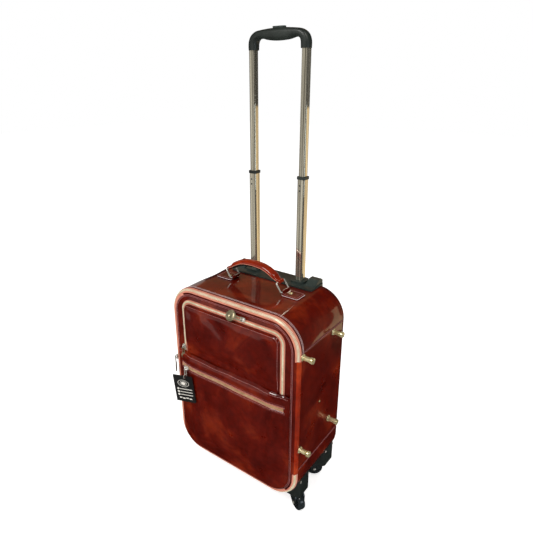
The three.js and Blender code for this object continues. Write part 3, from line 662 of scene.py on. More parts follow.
ZIP_FROM = case.right_at(ZIP_HIGH) + 0.3 * MM
ZIP_TO = case.total + case.right_at(ZIP_LOW) - 0.3 * MM
TURN_LEFT = case.starts[3] + CORNER * 0.5
TURN_RIGHT = case.starts[7] + CORNER * 0.8
along_zip = np.unique(np.concatenate([np.linspace(ZIP_FROM, ZIP_TO, 330), [TURN_LEFT, TURN_RIGHT]]))


def main_zip():
    """Each half: a leather binding, a tape, and every other tooth."""
    halves = (("zip_case_half", "case", "main_zip_case_side"), ("zip_lid_half", "lid", "main_zip_lid_side"))
    for side, (name, body, node) in enumerate(halves):
        turn = (lambda a: a) if side == 0 else (lambda a: 90 - a)
        mirrored = lambda section: [(turn(a), r) for a, r in section]
        shape = Shape()
        if side == 0:
            edge_sweep(shape, along_zip, mirrored(strip(-4, 9, 9.0 * MM, 10.9 * MM, 0.5 * MM)), 1)
            edge_sweep(shape, along_zip, mirrored(strip(7, 28, 9.0 * MM, 11.1 * MM, 0.3 * MM)), 0)
        else:
            edge_sweep(shape, along_zip, mirrored(strip(12, 28, 9.0 * MM, 11.1 * MM, 0.3 * MM)), 0)
            after, before = along_zip >= TURN_LEFT, along_zip <= TURN_RIGHT
            for part, mat in ((along_zip <= TURN_LEFT, 1), (after & before, 0), (along_zip >= TURN_RIGHT, 1)):
                edge_sweep(shape, along_zip[part], mirrored(strip(1, 14, 9.0 * MM, 10.9 * MM, 0.3 * MM)), mat)
        edge_sweep(shape, along_zip, mirrored(strip(26, 43.2, 8.9 * MM, 10.5 * MM)), 0)
        for k, s in enumerate(np.arange(ZIP_FROM + 2 * MM, ZIP_TO - 2 * MM, TOOTH_PITCH)):
            if k % 2 != side:
                continue
            corners = [
                edge_at(np.array(s + e * TOOTH_HALF), turn(a), r)
                for e in (-1, 1)
                for a in (29, 47)
                for r in (9.9 * MM, 11.5 * MM)
            ]
            shape.hexa(corners, 2)
        piece(name, shape, [TAPE, RED, TEETH], body, [node])


main_zip()


def hinge_strip():
    """The soft strip that the lid turns on. It covers the whole rounding."""
    shape = Shape()
    s = np.linspace(case.right_at(ZIP_LOW), case.right_at(ZIP_HIGH), 90)
    section = strip(-7, 97, 9.4 * MM, 10.7 * MM, 0.5 * MM, 26)
    edge_sweep(shape, s, section)
    # Painted highlight: the part of the rounding that faces the side is drawn in the bright leather, the part that
    # faces the front in the case leather.
    for k in range((len(s) - 1) * len(section)):
        shape.mats[k] = int(section[k % len(section)][0] > 58)
    made = piece("hinge_leather", shape, [BRIGHT, RED], None, ["lid_hinge_strip"])
    middle("lid_hinge_strip").z
    middle("lid_hinge_strip").z
    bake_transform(made)


hinge_strip()

# ---- Lid ---------------------------------------------------------------------------------------------


def on_front(x, z, h):
    return stack(x, FRONT - h, z)


def lid_panel():
    inset = 12.4 * MM
    line = Outline(-SIDE + inset, SIDE - inset, BOTTOM + inset, TOP - inset, CORNER - inset)

    def height(x, z, d):
        groove = 1.1 * MM * np.exp(-(((d - 7 * MM) / (3.5 * MM)) ** 2))
        uneven = ripple(x, 0, z, 0.12, 0.3 * MM, 21) * smooth(d / (20 * MM))
        return -rolled(d, 3 * MM, 1.4 * MM) - groove + uneven

    shape = Shape()
    insets = [i * MM for i in (0, 0.4, 1, 1.8, 3, 4.5, 6, 7.5, 9, 11, 14)]
    pad(shape, line, height, -5 * MM, on_front, insets, 22)
    s = np.linspace(0, line.total, 420)
    x, z, nx, nz = line.at(s)
    i = 4.2 * MM
    shape.stitches(stack(x - nx * i, FRONT, z - nz * i), (0, -1, 0), mat=1, radius=0.32 * MM)
    rim = lambda out, h: stack(x + nx * out * MM, FRONT - h * MM, z + nz * out * MM)[:-1]
    shape.tube(rim(-1.5, -0.1), 0.75 * MM, closed=True, sides=8, mat=3)
    s = np.linspace(line.starts[3] + line.radius * 0.5, line.starts[7] + line.radius * 0.8, 300)
    x, z, nx, nz = line.at(s)
    rim = lambda out, h: stack(x + nx * out * MM, FRONT - h * MM, z + nz * out * MM)
    section = ((1.6, -1.6), (1.5, -0.1), (0.9, 0.45), (0.2, 0.5), (-0.5, 0.1), (-0.5, -1.6))
    shape.grid(np.stack([rim(out, h) for out, h in section], 1), around_v=True, caps=True, mat=2)
    piece("lid_leather", shape, [RED, PINK, TAPE, PIPING], "lid", ["lid_panel"])


lid_panel()

UP_LOW, UP_HIGH = low("upper_pocket_zip"), high("upper_pocket_zip")
UP_ROUND = 26 * MM
UP_ZIP = 9 * MM
LOW_TOP = high("lower_pocket").z
LOW_BOTTOM = low("lower_pocket").z
LOW_REACH = high("lower_pocket").x
LOW_DEPTH = FRONT - low("lower_pocket").y
LOW_CORNER = 50 * MM
arch = Outline(UP_LOW.x, UP_HIGH.x, UP_LOW.z - UP_ROUND, UP_HIGH.z, UP_ROUND)


def arch_at(s, inset, proud):
    x, z, nx, nz = arch.at(s)
    return stack(x - nx * inset, FRONT - proud, z - nz * inset)


def upper_zip():
    """The U-shaped zip of the upper pocket, standing proud on a tape."""
    shape = Shape()
    end = arch.starts[5]
    s = np.linspace(0, end, 190)
    bands = [
        (0, [(-0.4, 0.3), (-0.4, 2.0), (0.0, 2.6), (1.0, 2.7), (1.4, 2.2), (1.4, 0.3)]),
        (0, [(1.2, 0.3), (1.2, 2.4), (5.2, 3.0), (5.6, 3.8), (8.6, 4.1), (9.2, 3.2), (9.2, 0.3)]),
    ]
    for mat, section in bands:
        rows = np.stack([arch_at(s, i * MM, p * MM) for i, p in section], 1)
        shape.grid(rows, around_v=True, caps=True, mat=mat)
    for k, t in enumerate(np.arange(2 * MM, end - 2 * MM, TOOTH_PITCH)):
        a, b = (1.2, 3.9) if k % 2 else (2.5, 5.2)
        corners = [
            arch_at(np.array(t + e * TOOTH_HALF), i * MM, p * MM)
            for e in (-1, 1) for i in (a, b) for p in (2.4, 4.3)
        ]
        shape.hexa(corners, 2)
    piece("upper_zip_band", shape, [TAPE, RED, TEETH], "lid", ["upper_pocket_zip"])


upper_zip()


def upper_pocket():
    """A soft, blown-up panel whose foot goes flat behind the lower pocket."""
    i = UP_ZIP + 0.3 * MM
    line = Outline(UP_LOW.x + i, UP_HIGH.x - i, UP_LOW.z, UP_HIGH.z - i, 15 * MM)
    cx, cz = (UP_LOW.x + UP_HIGH.x) / 2, (UP_LOW.z + UP_HIGH.z) / 2

    def height(x, z, d):
        crown = 12.2 * MM - rolled(d, 10 * MM, 8.4 * MM)
        across, upward = np.clip((x - cx) / 0.13, -1, 1), np.clip((z - cz) / 0.075, -1, 1)
        belly = 1.5 * MM * np.cos(across * 1.5) * np.cos(upward * 1.5)
        sag = ripple(x, 0, z, 0.075, 0.8 * MM, 33) * smooth(d / (22 * MM))
        full = crown + belly + sag
        foot = 8.1 * MM - rolled(d, 6 * MM, 5 * MM)
        t = smooth((z - UP_LOW.z - 22 * MM) / (32 * MM))
        return full * t + np.minimum(full, foot) * (1 - t)

    insets = [i * MM for i in (0, 0.3, 0.8, 1.6, 2.8, 4.2, 6, 8, 10, 13)]
    shape = Shape()
    pad(shape, line, height, 0.3 * MM, on_front, insets, 24, 3.5 * MM)
    x, z, nx, nz = line.at(np.linspace(0, line.starts[5], 300))
    d = 3.0 * MM
    u, v = x - nx * d, z - nz * d
    path = on_front(u, v, height(u, v, np.full(u.shape, d)))
    shape.stitches(path, stack(nx * 0.5, -1, nz * 0.5), mat=1, radius=0.3 * MM)
    made = piece("upper_pocket_leather", shape, [RED, PINK], "lid", ["upper_pocket"])


upper_pocket()


def lip(x):
    """Height of the lower pocket's top edge: it hangs a little lower to the right, with slack waves."""
    return LOW_TOP + (1.2 - 26 * x) * MM + ripple(x, 0, 0, 0.10, 1.1 * MM, 41)


def lower_zip_z(x):
    z = middle("lower_pocket_zip").z
    return z + 0.6 * MM - 0.011 * (x - pivot("lower_pull_swing").x)


def lower_depth(x, z):
    """How far the lower pocket stands in front of the lid."""
    side = LOW_REACH - np.abs(x)
    foot = z - LOW_BOTTOM
    dx, dz = np.abs(x) - (LOW_REACH - LOW_CORNER), LOW_BOTTOM + LOW_CORNER - z
    corner = np.where((dx > 0) & (dz > 0), LOW_CORNER - np.hypot(dx, dz), np.minimum(side, foot))
    d = np.minimum(np.minimum(side, foot), corner)
    h = LOW_DEPTH * (0.55 + 0.45 * smooth(d / (52 * MM))) - rolled(d, 9 * MM, 6.5 * MM)
    h = h + ripple(x, 0, z, 0.11, 0.9 * MM, 43) * smooth(d / (25 * MM)) - 0.4 * MM
    slack = smooth((z - LOW_TOP + 26 * MM) / (26 * MM)) * smooth(d / (30 * MM))
    h = h + slack * (0.4 * MM + ripple(x, 0, 0, 0.075, 2.0 * MM, 47))
    roll = np.clip((z - lip(x) + 13 * MM) / (13 * MM), 0, 1)
    h = h - 6.3 * MM * roll ** 2.3 * smooth(side / (14 * MM))
    zip_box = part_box("lower_pocket_zip")
    ends = smooth((x - zip_box[0].x) / (3 * MM)) * smooth((zip_box[1].x + 6 * MM - x) / (3 * MM))
    across = np.abs(z - lower_zip_z(x))
    seam = smooth((6.2 * MM - across) / (1.6 * MM)) * ends
    ridge = np.exp(-((across - 7.5 * MM) / (1.8 * MM)) ** 2) * ends
    return h - 1.7 * MM * seam + 0.35 * MM * ridge


def lower_pocket():
    x = LOW_REACH * np.sin(np.linspace(-math.pi / 2, math.pi / 2, 120))
    over = np.clip(np.abs(x) - (LOW_REACH - LOW_CORNER), 0, LOW_CORNER)
    foot = LOW_BOTTOM + LOW_CORNER - np.sqrt(np.clip(LOW_CORNER ** 2 - over ** 2, 0, None))
    mid = lower_zip_z(x)
    offsets = np.array([9, 8, 7, 6.2, 5.8, 5.3, 4.7, 4, 0, -4, -4.7, -5.3, -5.8, -6.2, -7, -8, -9]) * MM
    rows = [lip(x) + (mid + offsets[0] - lip(x)) * t for t in np.linspace(0, 1, 12)[:-1] ** 1.2]
    rows += [mid + o for o in offsets]
    start = mid + offsets[-1]
    rows += [start + (foot - start) * t for t in np.sin(np.linspace(0, math.pi / 2, 56))[1:]]
    z = np.stack(rows)
    xs = np.broadcast_to(x, z.shape)
    h = lower_depth(xs, z)
    skin = 2.2 * MM
    # One more line round the sides and the foot carries the wall down to the lid.
    wall = lambda g: np.concatenate([g[:, :1], g, g[:, -1:]], 1)
    full = lambda g: np.concatenate([wall(g), wall(g)[-1:]], 0)
    xo, zo, ho = full(xs), full(z), full(h)
    ho[:, 0] = ho[:, -1] = ho[-1] = 0.3 * MM
    xi = xo * (1 - skin / LOW_REACH)
    zi = zo + skin * smooth((LOW_BOTTOM + LOW_CORNER - zo) / LOW_CORNER)
    hi = np.maximum(ho - skin, 0.3 * MM)
    shape = Shape()
    shape.slab(on_front(xo, zo, ho), on_front(xi, zi, hi))
    top = np.linspace(-LOW_REACH + 2 * MM, LOW_REACH - 2 * MM, 120)
    z_top = lip(top)
    h_top = lower_depth(top, z_top)
    bead = on_front(top, z_top + 0.2 * MM, h_top - 1.0 * MM)
    shape.sweep(bead, rounded(1.5 * MM, 1.7 * MM, 2.4, 12), (0, 0, 1))
    z_seam = z_top - 4 * MM
    shape.stitches(on_front(top, z_seam, lower_depth(top, z_seam)), (0, -1, 0), mat=1, radius=0.3 * MM)
    made = piece("lower_pocket_leather", shape, [RED, PINK], "lid", ["lower_pocket"])


lower_pocket()


def lower_zip():
    lo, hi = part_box("lower_pocket_zip")
    shape = Shape()
    end = hi.x + 6 * MM
    x = np.linspace(lo.x, end, 110)
    base = lower_depth(x, lower_zip_z(x))
    path = on_front(x, lower_zip_z(x), base + 0.3 * MM)
    shape.sweep(path, rounded(5.6 * MM, 0.7 * MM, 6, 16), (0, -1, 0))
    for k, t in enumerate(np.arange(lo.x + 3 * MM, end - 4 * MM, TOOTH_PITCH)):
        a, b = (-2.4, 0.8) if k % 2 else (-0.8, 2.4)
        z0, h0 = lower_zip_z(t), float(np.interp(t, x, base))
        corners = [
            (t + e * TOOTH_HALF, FRONT - h0 - p * MM, z0 + i * MM)
            for e in (-1, 1) for i in (a, b) for p in (0.4, 1.9)
        ]
        shape.hexa(corners, 1)
    for offset, mat in ((7.4, 2), (10.4, 3), (-7.4, 2), (-10.4, 3)):
        z = lower_zip_z(x) + offset * MM
        shape.stitches(on_front(x, z, lower_depth(x, z)), (0, -1, 0), mat=mat, radius=0.36 * MM)
    piece("lower_zip_band", shape, [TAPE_DARK, GILT, PINK, PIPING], "lid", ["lower_pocket_zip"])
    tab = Shape()
    line = Outline(end - 3 * MM, end + 5 * MM, lower_zip_z(end) - 6.5 * MM, lower_zip_z(end) + 6.5 * MM, 2 * MM)
    plain = 0.25  # a height well below the zip, where its seam does not dent the pocket
    tab_depth = lambda u, v, d: (
        lower_depth(u, np.full(u.shape, plain)) + 1.2 * MM - rolled(d, 1.2 * MM, 0.9 * MM)
    )
    insets = [i * MM for i in (0, 0.3, 0.7, 1.2, 1.8)]
    pad(tab, line, tab_depth, LOW_DEPTH * 0.5, on_front, insets, 4, MM)
    piece("lower_zip_tab", tab, RED, "lid")


lower_zip()

# ---- Carry handle ------------------------------------------------------------------------------------

HANDLE_Y = pivot("handle_swing").y
RING_LOW = {-1: pivot("handle_swing"), 1: pivot("right_ring_swing")}
LEAN = pivot("handle_level") - pivot("handle_swing")
WIRE = 1.7 * MM


def rings():
    up, across = LEAN.normalized(), Vector((0, 1, 0))
    half, reach, bend = 15.3 * MM, LEAN.length, 3 * MM
    line = Outline(-half, half, 0, reach, bend)
    y, v, _, _ = line.at(np.linspace(0, line.total, 60, endpoint=False))
    for side, name, body in ((-1, "left", "ring_left"), (1, "right", "ring_right")):
        path = [tuple(RING_LOW[side] + across * a + up * b) for a, b in zip(y, v)]
        shape = Shape()
        shape.tube(path, WIRE, closed=True, sides=14, up=tuple(up.cross(across)))
        piece("ring_" + name, shape, NICKEL, body, ["handle_ring_" + name])


rings()


def sleeve(shape, centre, half, outer=4.7 * MM, inner=2.5 * MM, mat=0):
    """A leather loop sewn round a bar that runs along y."""
    profile = [
        (inner, -half), (outer - 0.6 * MM, -half), (outer, -half + 0.7 * MM), (outer, 0),
        (outer, half - 0.7 * MM), (outer - 0.6 * MM, half), (inner, half),
    ]
    rows = [
        [
            (centre.x + r * math.cos(a), centre.y + h, centre.z + r * math.sin(a))
            for a in np.linspace(0, 2 * math.pi, 28, endpoint=False)
        ]
        for r, h in profile
    ]
    shape.grid(rows, around_u=True, around_v=True, mat=mat)


def tabs():
    """A flap on each side, with a turned edge, a loop for the ring and a rivet."""
    for side, name in ((-1, "left"), (1, "right")):
        node = "handle_tab_" + name
        inner, outer = RING_LOW[side].x, (high(node).x if side > 0 else low(node).x)
        lo_x, hi_x = sorted((inner + side * 1.0 * MM, outer))
        line = Outline(lo_x, hi_x, -16.5 * MM, 16.5 * MM, 4 * MM)
        on_top = lambda u, v, h: stack(u, HANDLE_Y + v, TOP + h)
        height = lambda u, v, d: (
            3.5 * MM - rolled(d, 1.3 * MM, 1.0 * MM)
            + 0.35 * MM * np.exp(-((d - 6 * MM) / (3 * MM)) ** 2)
            + smooth((12 * MM - side * (u - inner)) / (12 * MM)) * 2.2 * MM * smooth(d / (3 * MM))
        )
        shape = Shape()
        insets = [i * MM for i in (0, 0.3, 0.8, 1.3, 2.2, 3.6)]
        pad(shape, line, height, 0.3 * MM, on_top, insets, 12, 1.6 * MM)
        sleeve(shape, RING_LOW[side], 12 * MM)
        x, v, nx, nv = line.at(np.linspace(0, line.total, 120))
        d = 2.6 * MM
        u, w = x - nx * d, v - nv * d
        row = on_top(u, w, height(u, w, np.full(u.shape, d)))
        shape.stitches(row, (0, 0, 1), mat=1, pitch=3.2 * MM, radius=0.32 * MM)
        edge = on_top(x + nx * 0.1 * MM, v + nv * 0.1 * MM, np.full(x.shape, 1.6 * MM))[:-1]
        shape.tube(edge, 0.7 * MM, closed=True, sides=6, up=(0, 0, 1), mat=2)
        piece("tab_" + name, shape, [RED, PINK, PALE], "case", [node])
        rivet = Shape()
        at = Vector((inner + side * 15 * MM, HANDLE_Y, TOP + 3.4 * MM))
        rivet.lathe(mm([(4.6, 0), (4.6, 0.5), (3.9, 1.1), (2.4, 1.6), (0.6, 1.8)]), at, (0, 0, 1), 28)
        piece("tab_rivet_" + name, rivet, BRASS, "case")


tabs()


def carry_handle():
    """A padded, stitched arch with a dark underside and a loop at each end."""
    reach = 70 * MM
    centre = pivot("handle_level") + Vector((reach, 0, 0))
    rise = [(-70, 0.5), (-62, 4.5), (-50, 12), (-31, 20.5), (0, 24)]
    knots = np.array(rise + [(-x, z) for x, z in rise[-2::-1]]) * MM
    t = np.linspace(0, 1, 64)
    run = np.concatenate([[0], np.cumsum(np.hypot(*np.diff(knots, axis=0).T))])
    coeff = [catmull(run / run[-1], knots[:, k], t) for k in (0, 1)]
    p = stack(centre.x + coeff[0], centre.y, centre.z + coeff[1])
    ends = np.minimum(smooth(t / 0.13), smooth((1 - t) / 0.13))
    tangent = np.gradient(p, axis=0)
    tangent /= np.linalg.norm(tangent, axis=1)[:, None]
    normal = stack(-tangent[:, 2], 0, tangent[:, 0])
    shape = Shape()
    around = np.linspace(0, 2 * math.pi, 30, endpoint=False)
    for part, mat in ((1, 0), (-1, 1)):
        rows = []
        for k in range(len(t)):
            half_w = (8.2 + 2.8 * ends[k]) * MM
            thick = (2.6 + (5.2 if part > 0 else 3.6) * ends[k]) * MM
            row = []
            for a in around:
                c, s = math.cos(a), math.sin(a)
                y = half_w * np.sign(c) * abs(c) ** 0.75
                n = thick * max(s, 0) ** 0.8 if s > 0 else -0.2 * MM * abs(s)
                row.append(p[k] + np.array((0, y, 0)) + normal[k] * n * part)
            rows.append(row)
        shape.grid(rows, around_v=True, caps=True, mat=mat)
    for side in (-1, 1):
        offset = (side * (6.8 + 2.6 * ends))[:, None] * MM * np.array((0, 1, 0))
        lift = normal * ((1.7 + 2.2 * ends) * MM)[:, None]
        ups = normal[3:-3] + np.array((0, side * 0.7, 0))
        shape.stitches((p + offset + lift)[3:-3], ups, mat=2, radius=0.42 * MM)
        rim = (side * (8.2 + 2.8 * ends))[:, None] * MM * np.array((0, 1, 0))
        shape.tube(p + rim, 0.65 * MM, sides=6, up=(0, 1, 0.3), mat=3)
        sleeve(shape, centre + Vector((side * reach, 0, 0)), 9.5 * MM, 4.4 * MM)
    looks = [BRIGHT, UNDER, PALE, TAPE]
    made = piece("carry_handle_leather", shape, looks, "carry_handle", ["carry_handle"])


def catmull(knot_t, values, t):
    """Smooth interpolation through values, with slopes from their neighbours."""
    slopes = np.gradient(values, knot_t)
    k = np.clip(np.searchsorted(knot_t, t) - 1, 0, len(knot_t) - 2)
    w = knot_t[k + 1] - knot_t[k]
    u = (t - knot_t[k]) / w
    return (
        (2 * u ** 3 - 3 * u ** 2 + 1) * values[k]
        + (u ** 3 - 2 * u ** 2 + u) * w * slopes[k]
        + (-2 * u ** 3 + 3 * u ** 2) * values[k + 1]
        + (u ** 3 - u ** 2) * w * slopes[k + 1]
    )


carry_handle()

# ---- Feet, rivet and side handle ---------------------------------------------------------------------


def feet():
    for k in range(1, 5):
        lo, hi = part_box(f"side_foot_{k}")
        at = Vector((lo.x, (lo.y + hi.y) / 2, (lo.z + hi.z) / 2))
        reach = (hi.x - lo.x) / MM
        foot = [(7.4, 0), (7.5, 0.8), (7.1, 1.6), (5.4, 2.4), (4.9, 3.2), (4.8, 4.2), (5.0, 4.8)]
        # Radius, and distance short of the tip
        knob = [(5.0, 8.4), (4.6, 8.0), (4.6, 7.4), (5.9, 6.9), (6.4, 6.2), (6.4, 1.3), (6.0, 0.4), (5.2, 0), (1.0, 0)]
        shape = Shape()
        shape.lathe(mm(foot + [(r, reach - short) for r, short in knob]), at, (1, 0, 0), 40)
        piece(f"brass_foot_{k}", shape, BRASS, "case", [f"side_foot_{k}"])
    shape = Shape()
    at = Vector((SIDE - 0.1 * MM, (low("side_foot_1").y + high("side_foot_2").y) / 2 + 16 * MM, 0.278))
    shape.lathe(mm([(2.6, 0), (2.6, 0.5), (1.9, 1.0), (0.5, 1.2)]), at, (1, 0, 0), 24)
    piece("side_rivet", shape, BRASS, "case")


feet()


def side_handle():
    """A stitched strap handle on the left side."""
    lo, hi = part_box("side_handle")
    mid_z, half, y = (lo.z + hi.z) / 2, (hi.z - lo.z) / 2, (lo.y + hi.y) / 2
    # Share of the half length, and distance out from the case in mm
    rise = [(-1.0, 2.6), (-0.78, 2.6), (-0.62, 8), (-0.42, 19.5), (-0.2, 22.2), (0, 22.6)]
    knots = np.array(rise + [(-along, out) for along, out in rise[-2::-1]])
    t = np.linspace(0, 1, 70)
    kt = np.linspace(0, 1, len(knots))
    z = mid_z + catmull(kt, knots[:, 0], t) * half
    x = hi.x - catmull(kt, knots[:, 1], t) * MM
    shape = Shape()
    path = stack(x, y, z)
    shape.sweep(path, rounded(14 * MM, 2.3 * MM, 5, 30), (-1, 0, 0))
    tangent = np.gradient(path, axis=0)
    tangent /= np.linalg.norm(tangent, axis=1)[:, None]
    normal = stack(-tangent[:, 2], 0, tangent[:, 0])
    for side in (-1, 1):
        offset = normal * 2.35 * MM + np.array((0, side * 11 * MM, 0))
        shape.stitches((path + offset)[2:-2], normal[2:-2], mat=1, radius=0.4 * MM)
    for end in (-1, 1):
        at = Vector((hi.x - 4.6 * MM, y, mid_z + end * half * 0.89))
        shape.lathe(mm([(4.2, 0), (4.2, 0.6), (3.4, 1.3), (0.8, 1.7)]), at, (-1, 0, 0), 28, mat=2)
    made = piece("side_handle_leather", shape, [RED, PINK, BRASS], "case", ["side_handle"])


side_handle()

# ---- Zip sliders, pulls and tag ----------------------------------------------------------------------


def slider(name, node, body, at, travel, out, crossed):
    """A cast slider: a waisted body with side flanges, and a bridge that holds the pull."""
    t, n = Vector(travel).normalized(), Vector(out).normalized()
    side = n.cross(t)
    place = lambda a, b, h: tuple(at + t * a * MM + side * b * MM + n * h * MM)
    shape = Shape()
    outline = [(-6, 3.0), (-4.5, 4.2), (-2, 4.5), (1, 4.2), (3.5, 4.5), (5.2, 3.6), (6, 1.6)]
    ring = outline + [(a, -b) for a, b in reversed(outline)]
    # Share of the outline's size, and height
    layers = ((0.95, 0.1), (1, 0.4), (1, 1.2), (0.86, 1.45), (0.86, 1.9), (1, 2.1), (0.99, 2.9), (0.9, 3.3))
    rows = [[place(a * k, b * k, h) for a, b in ring] for k, h in layers]
    shape.grid(rows, around_v=True, caps=True)
    along = side if crossed else t
    bow = ((-3.9, 3.0), (-3.7, 4.6), (-2.4, 6.6), (0, 7.6), (2.4, 6.6), (3.7, 4.6), (3.9, 3.0))
    bridge = [tuple(at + along * a * MM + n * h * MM) for a, h in bow]
    shape.sweep(bridge, rounded(1.0 * MM, 0.65 * MM, 3, 12), tuple(n + along * 0.01))
    return piece(name, shape, NICKEL, body, [node])


def pull(name, node, body, at, lie, out, disc):
    """A wire link and, unless disc is 0, a medallion with a raised rim and a plain stepped centre."""
    l, n = Vector(lie).normalized(), Vector(out).normalized()
    side = n.cross(l)
    line = Outline(0, 17.3 * MM, -3.3 * MM, 3.3 * MM, 3.2 * MM)
    a, b, _, _ = line.at(np.linspace(0, line.total, 48, endpoint=False))
    shape = Shape()
    waist = 1 - 0.22 * np.exp(-((a / MM - 9) / 4) ** 2)
    wire = (1.05 if disc else 0.75) * MM
    link = [tuple(at + l * p + side * q) for p, q in zip(a, b * waist)]
    shape.tube(link, wire, closed=True, sides=10, up=tuple(n))
    if disc:
        r = disc / MM
        c = at + l * (16.8 * MM + disc)
        # Share of the radius, and height in mm, from the middle of the face out to the edge
        face = [(0.3, 1.05), (0.62, 1.0), (0.7, 0.6), (0.84, 0.6), (0.88, 1.15), (0.97, 1.15), (1, 0.7)]
        profile = [(k, -h) for k, h in face] + face[::-1] + [(0.26, 0.75), (0.05, 0.8)]
        shape.lathe(mm([(r * k, h) for k, h in profile]), c, n, 44, mat=1)
    return piece(name, shape, [BRONZE if disc else NICKEL, BRONZE], body, [node])


def zip_hardware():
    up, down, ahead = (0, 0, 1), (0, 0, -1), (0, -1, 0)
    lift = 5.8 * MM
    lean = Vector(JOINT["upper_pull_a_swing"]["axis"])
    tilted = Vector((0, -lean.z, lean.y))
    # Key, slider, pull, travel, outward, way the pull hangs, medallion radius, bridge set across
    rows = [
        ("main", "main_slider", "main_pull", up, (-1, -1, 0), down, 12 * MM, False),
        ("upper_a", "upper_slider_a", "upper_pull_a", (1, 0, 0), tilted, (-1, 0, 0), 12 * MM, False),
        ("upper_b", "upper_slider_b", "upper_pull_b", up, ahead, down, 8 * MM, False),
        ("lower", "lower_slider", "lower_pull", (1, 0, 0), ahead, down, 0, True),
    ]
    for key, slide_body, pull_body, travel, out, lie, disc, crossed in rows:
        n = Vector(out).normalized()
        at = pivot(pull_body + "_swing")
        slider(key + "_zip_slider", slide_body, slide_body, at - n * lift, travel, out, crossed)
        pull(key + "_zip_pull", pull_body, pull_body, at, lie, out, disc)


zip_hardware()


INK = (0.62, 0.72)  # where the printing starts and ends, in mm from the middle of the card


def tag():
    """Printing on the hang tag: an oval frame with a plain disc, bars and dashes. The card is the CAD node."""
    turn = Matrix.Rotation(math.radians(14), 3, "Z") @ Matrix.Rotation(math.radians(-5.6), 3, "Y")
    hole = middle("hang_tag") - turn @ Vector((-5.5 * MM, 0, -30 * MM))
    place = lambda u, v, h: tuple(hole + turn @ Vector((u * MM, -h * MM, v * MM)))
    shape = Shape()

    def oval(u, v, a, b, hollow, steps=40):
        rows = []
        around = np.linspace(0, 2 * math.pi, steps, endpoint=False)
        for k, h in ((1, INK[0]), (1, INK[1]), (hollow, INK[1]), (hollow, INK[0])):
            rows.append([place(u + a * k * math.cos(w), v + b * k * math.sin(w), h) for w in around])
        shape.grid(rows, around_u=hollow > 0.1, around_v=True, caps=hollow <= 0.1)

    def bar(u, v, wide, tall):
        shape.hexa([place(u + a * wide / 2, v + b * tall / 2, h) for a in (-1, 1) for b in (-1, 1) for h in INK])

    oval(-6, -15, 15.5, 9.5, 0.93)
    oval(-6, -15, 6.0, 4.2, 0.02)
    oval(-6, -15, 9.5, 6.4, 0.9)
    for k in range(3):
        v = -31 - k * 8
        bar(-1, v, 34, 1.7)
        oval(-22.5, v, 3.0, 2.7, 0.02, 20)
    for k in range(4):
        bar(-19 + k * 9, -56 - (k % 2) * 1.2, 7, 3.2)
    piece("tag_printing", shape, PRINT, "tag")


tag()

# ---- Pull handle, bezel and casters ------------------------------------------------------------------


def bevelled(node, width, segments=3, angle=30):
    """Rounds the sharp edges of a CAD node, or of a piece."""
    made = frame["nodes"][node] if isinstance(node, str) else node
    made.data.polygons.foreach_set("use_smooth", [True] * len(made.data.polygons))
    weld = made.modifiers.new("weld", "WELD")
    weld.merge_threshold = 0.02 * MM
    bevel = made.modifiers.new("bevel", "BEVEL")
    bevel.width, bevel.segments, bevel.limit_method = width, segments, "ANGLE"
    bevel.angle_limit = math.radians(angle)
    bevel.use_clamp_overlap = True
    shade = made.modifiers.new("normals", "WEIGHTED_NORMAL")
    shade.weight = 80
    return made


CORNERS = ("front_right", "rear_right", "front_left", "rear_left")
FINISH = {
    "case_lining": LINING, "lid_lining": LINING, "inner_board": BOARD, "tube_base_bracket": PLASTIC,
    "outer_tube_left": STEEL, "outer_tube_right": STEEL, "handle_bezel": BEZEL,
    "release_button": BEZEL, "hang_tag": CARD, "tag_chain": NICKEL,
    **{f"{stage}_tube_{s}": CHROME for stage in ("mid", "upper") for s in ("left", "right")},
    **{f"mid_collar_{s}": PLASTIC for s in ("left", "right")},
    **{f"caster_{kind}_{c}": look for kind, look in (("housing", PLASTIC), ("fork", FORK)) for c in CORNERS},
}
for node, look in FINISH.items():
    slots = frame["nodes"][node].data.materials
    slots.clear()
    slots.append(look)
for node, width in (("handle_bezel", 1.6 * MM), ("release_button", 1.2 * MM), ("hang_tag", 0.25 * MM)):
    bevelled(node, width)
for c in CORNERS:
    bevelled("caster_fork_" + c, 0.9 * MM)
for s in ("left", "right"):
    for stage in ("mid", "upper", "outer"):
        bevelled(f"{stage}_tube_{s}", 0.3 * MM, 2)
    bevelled("mid_collar_" + s, 0.6 * MM)


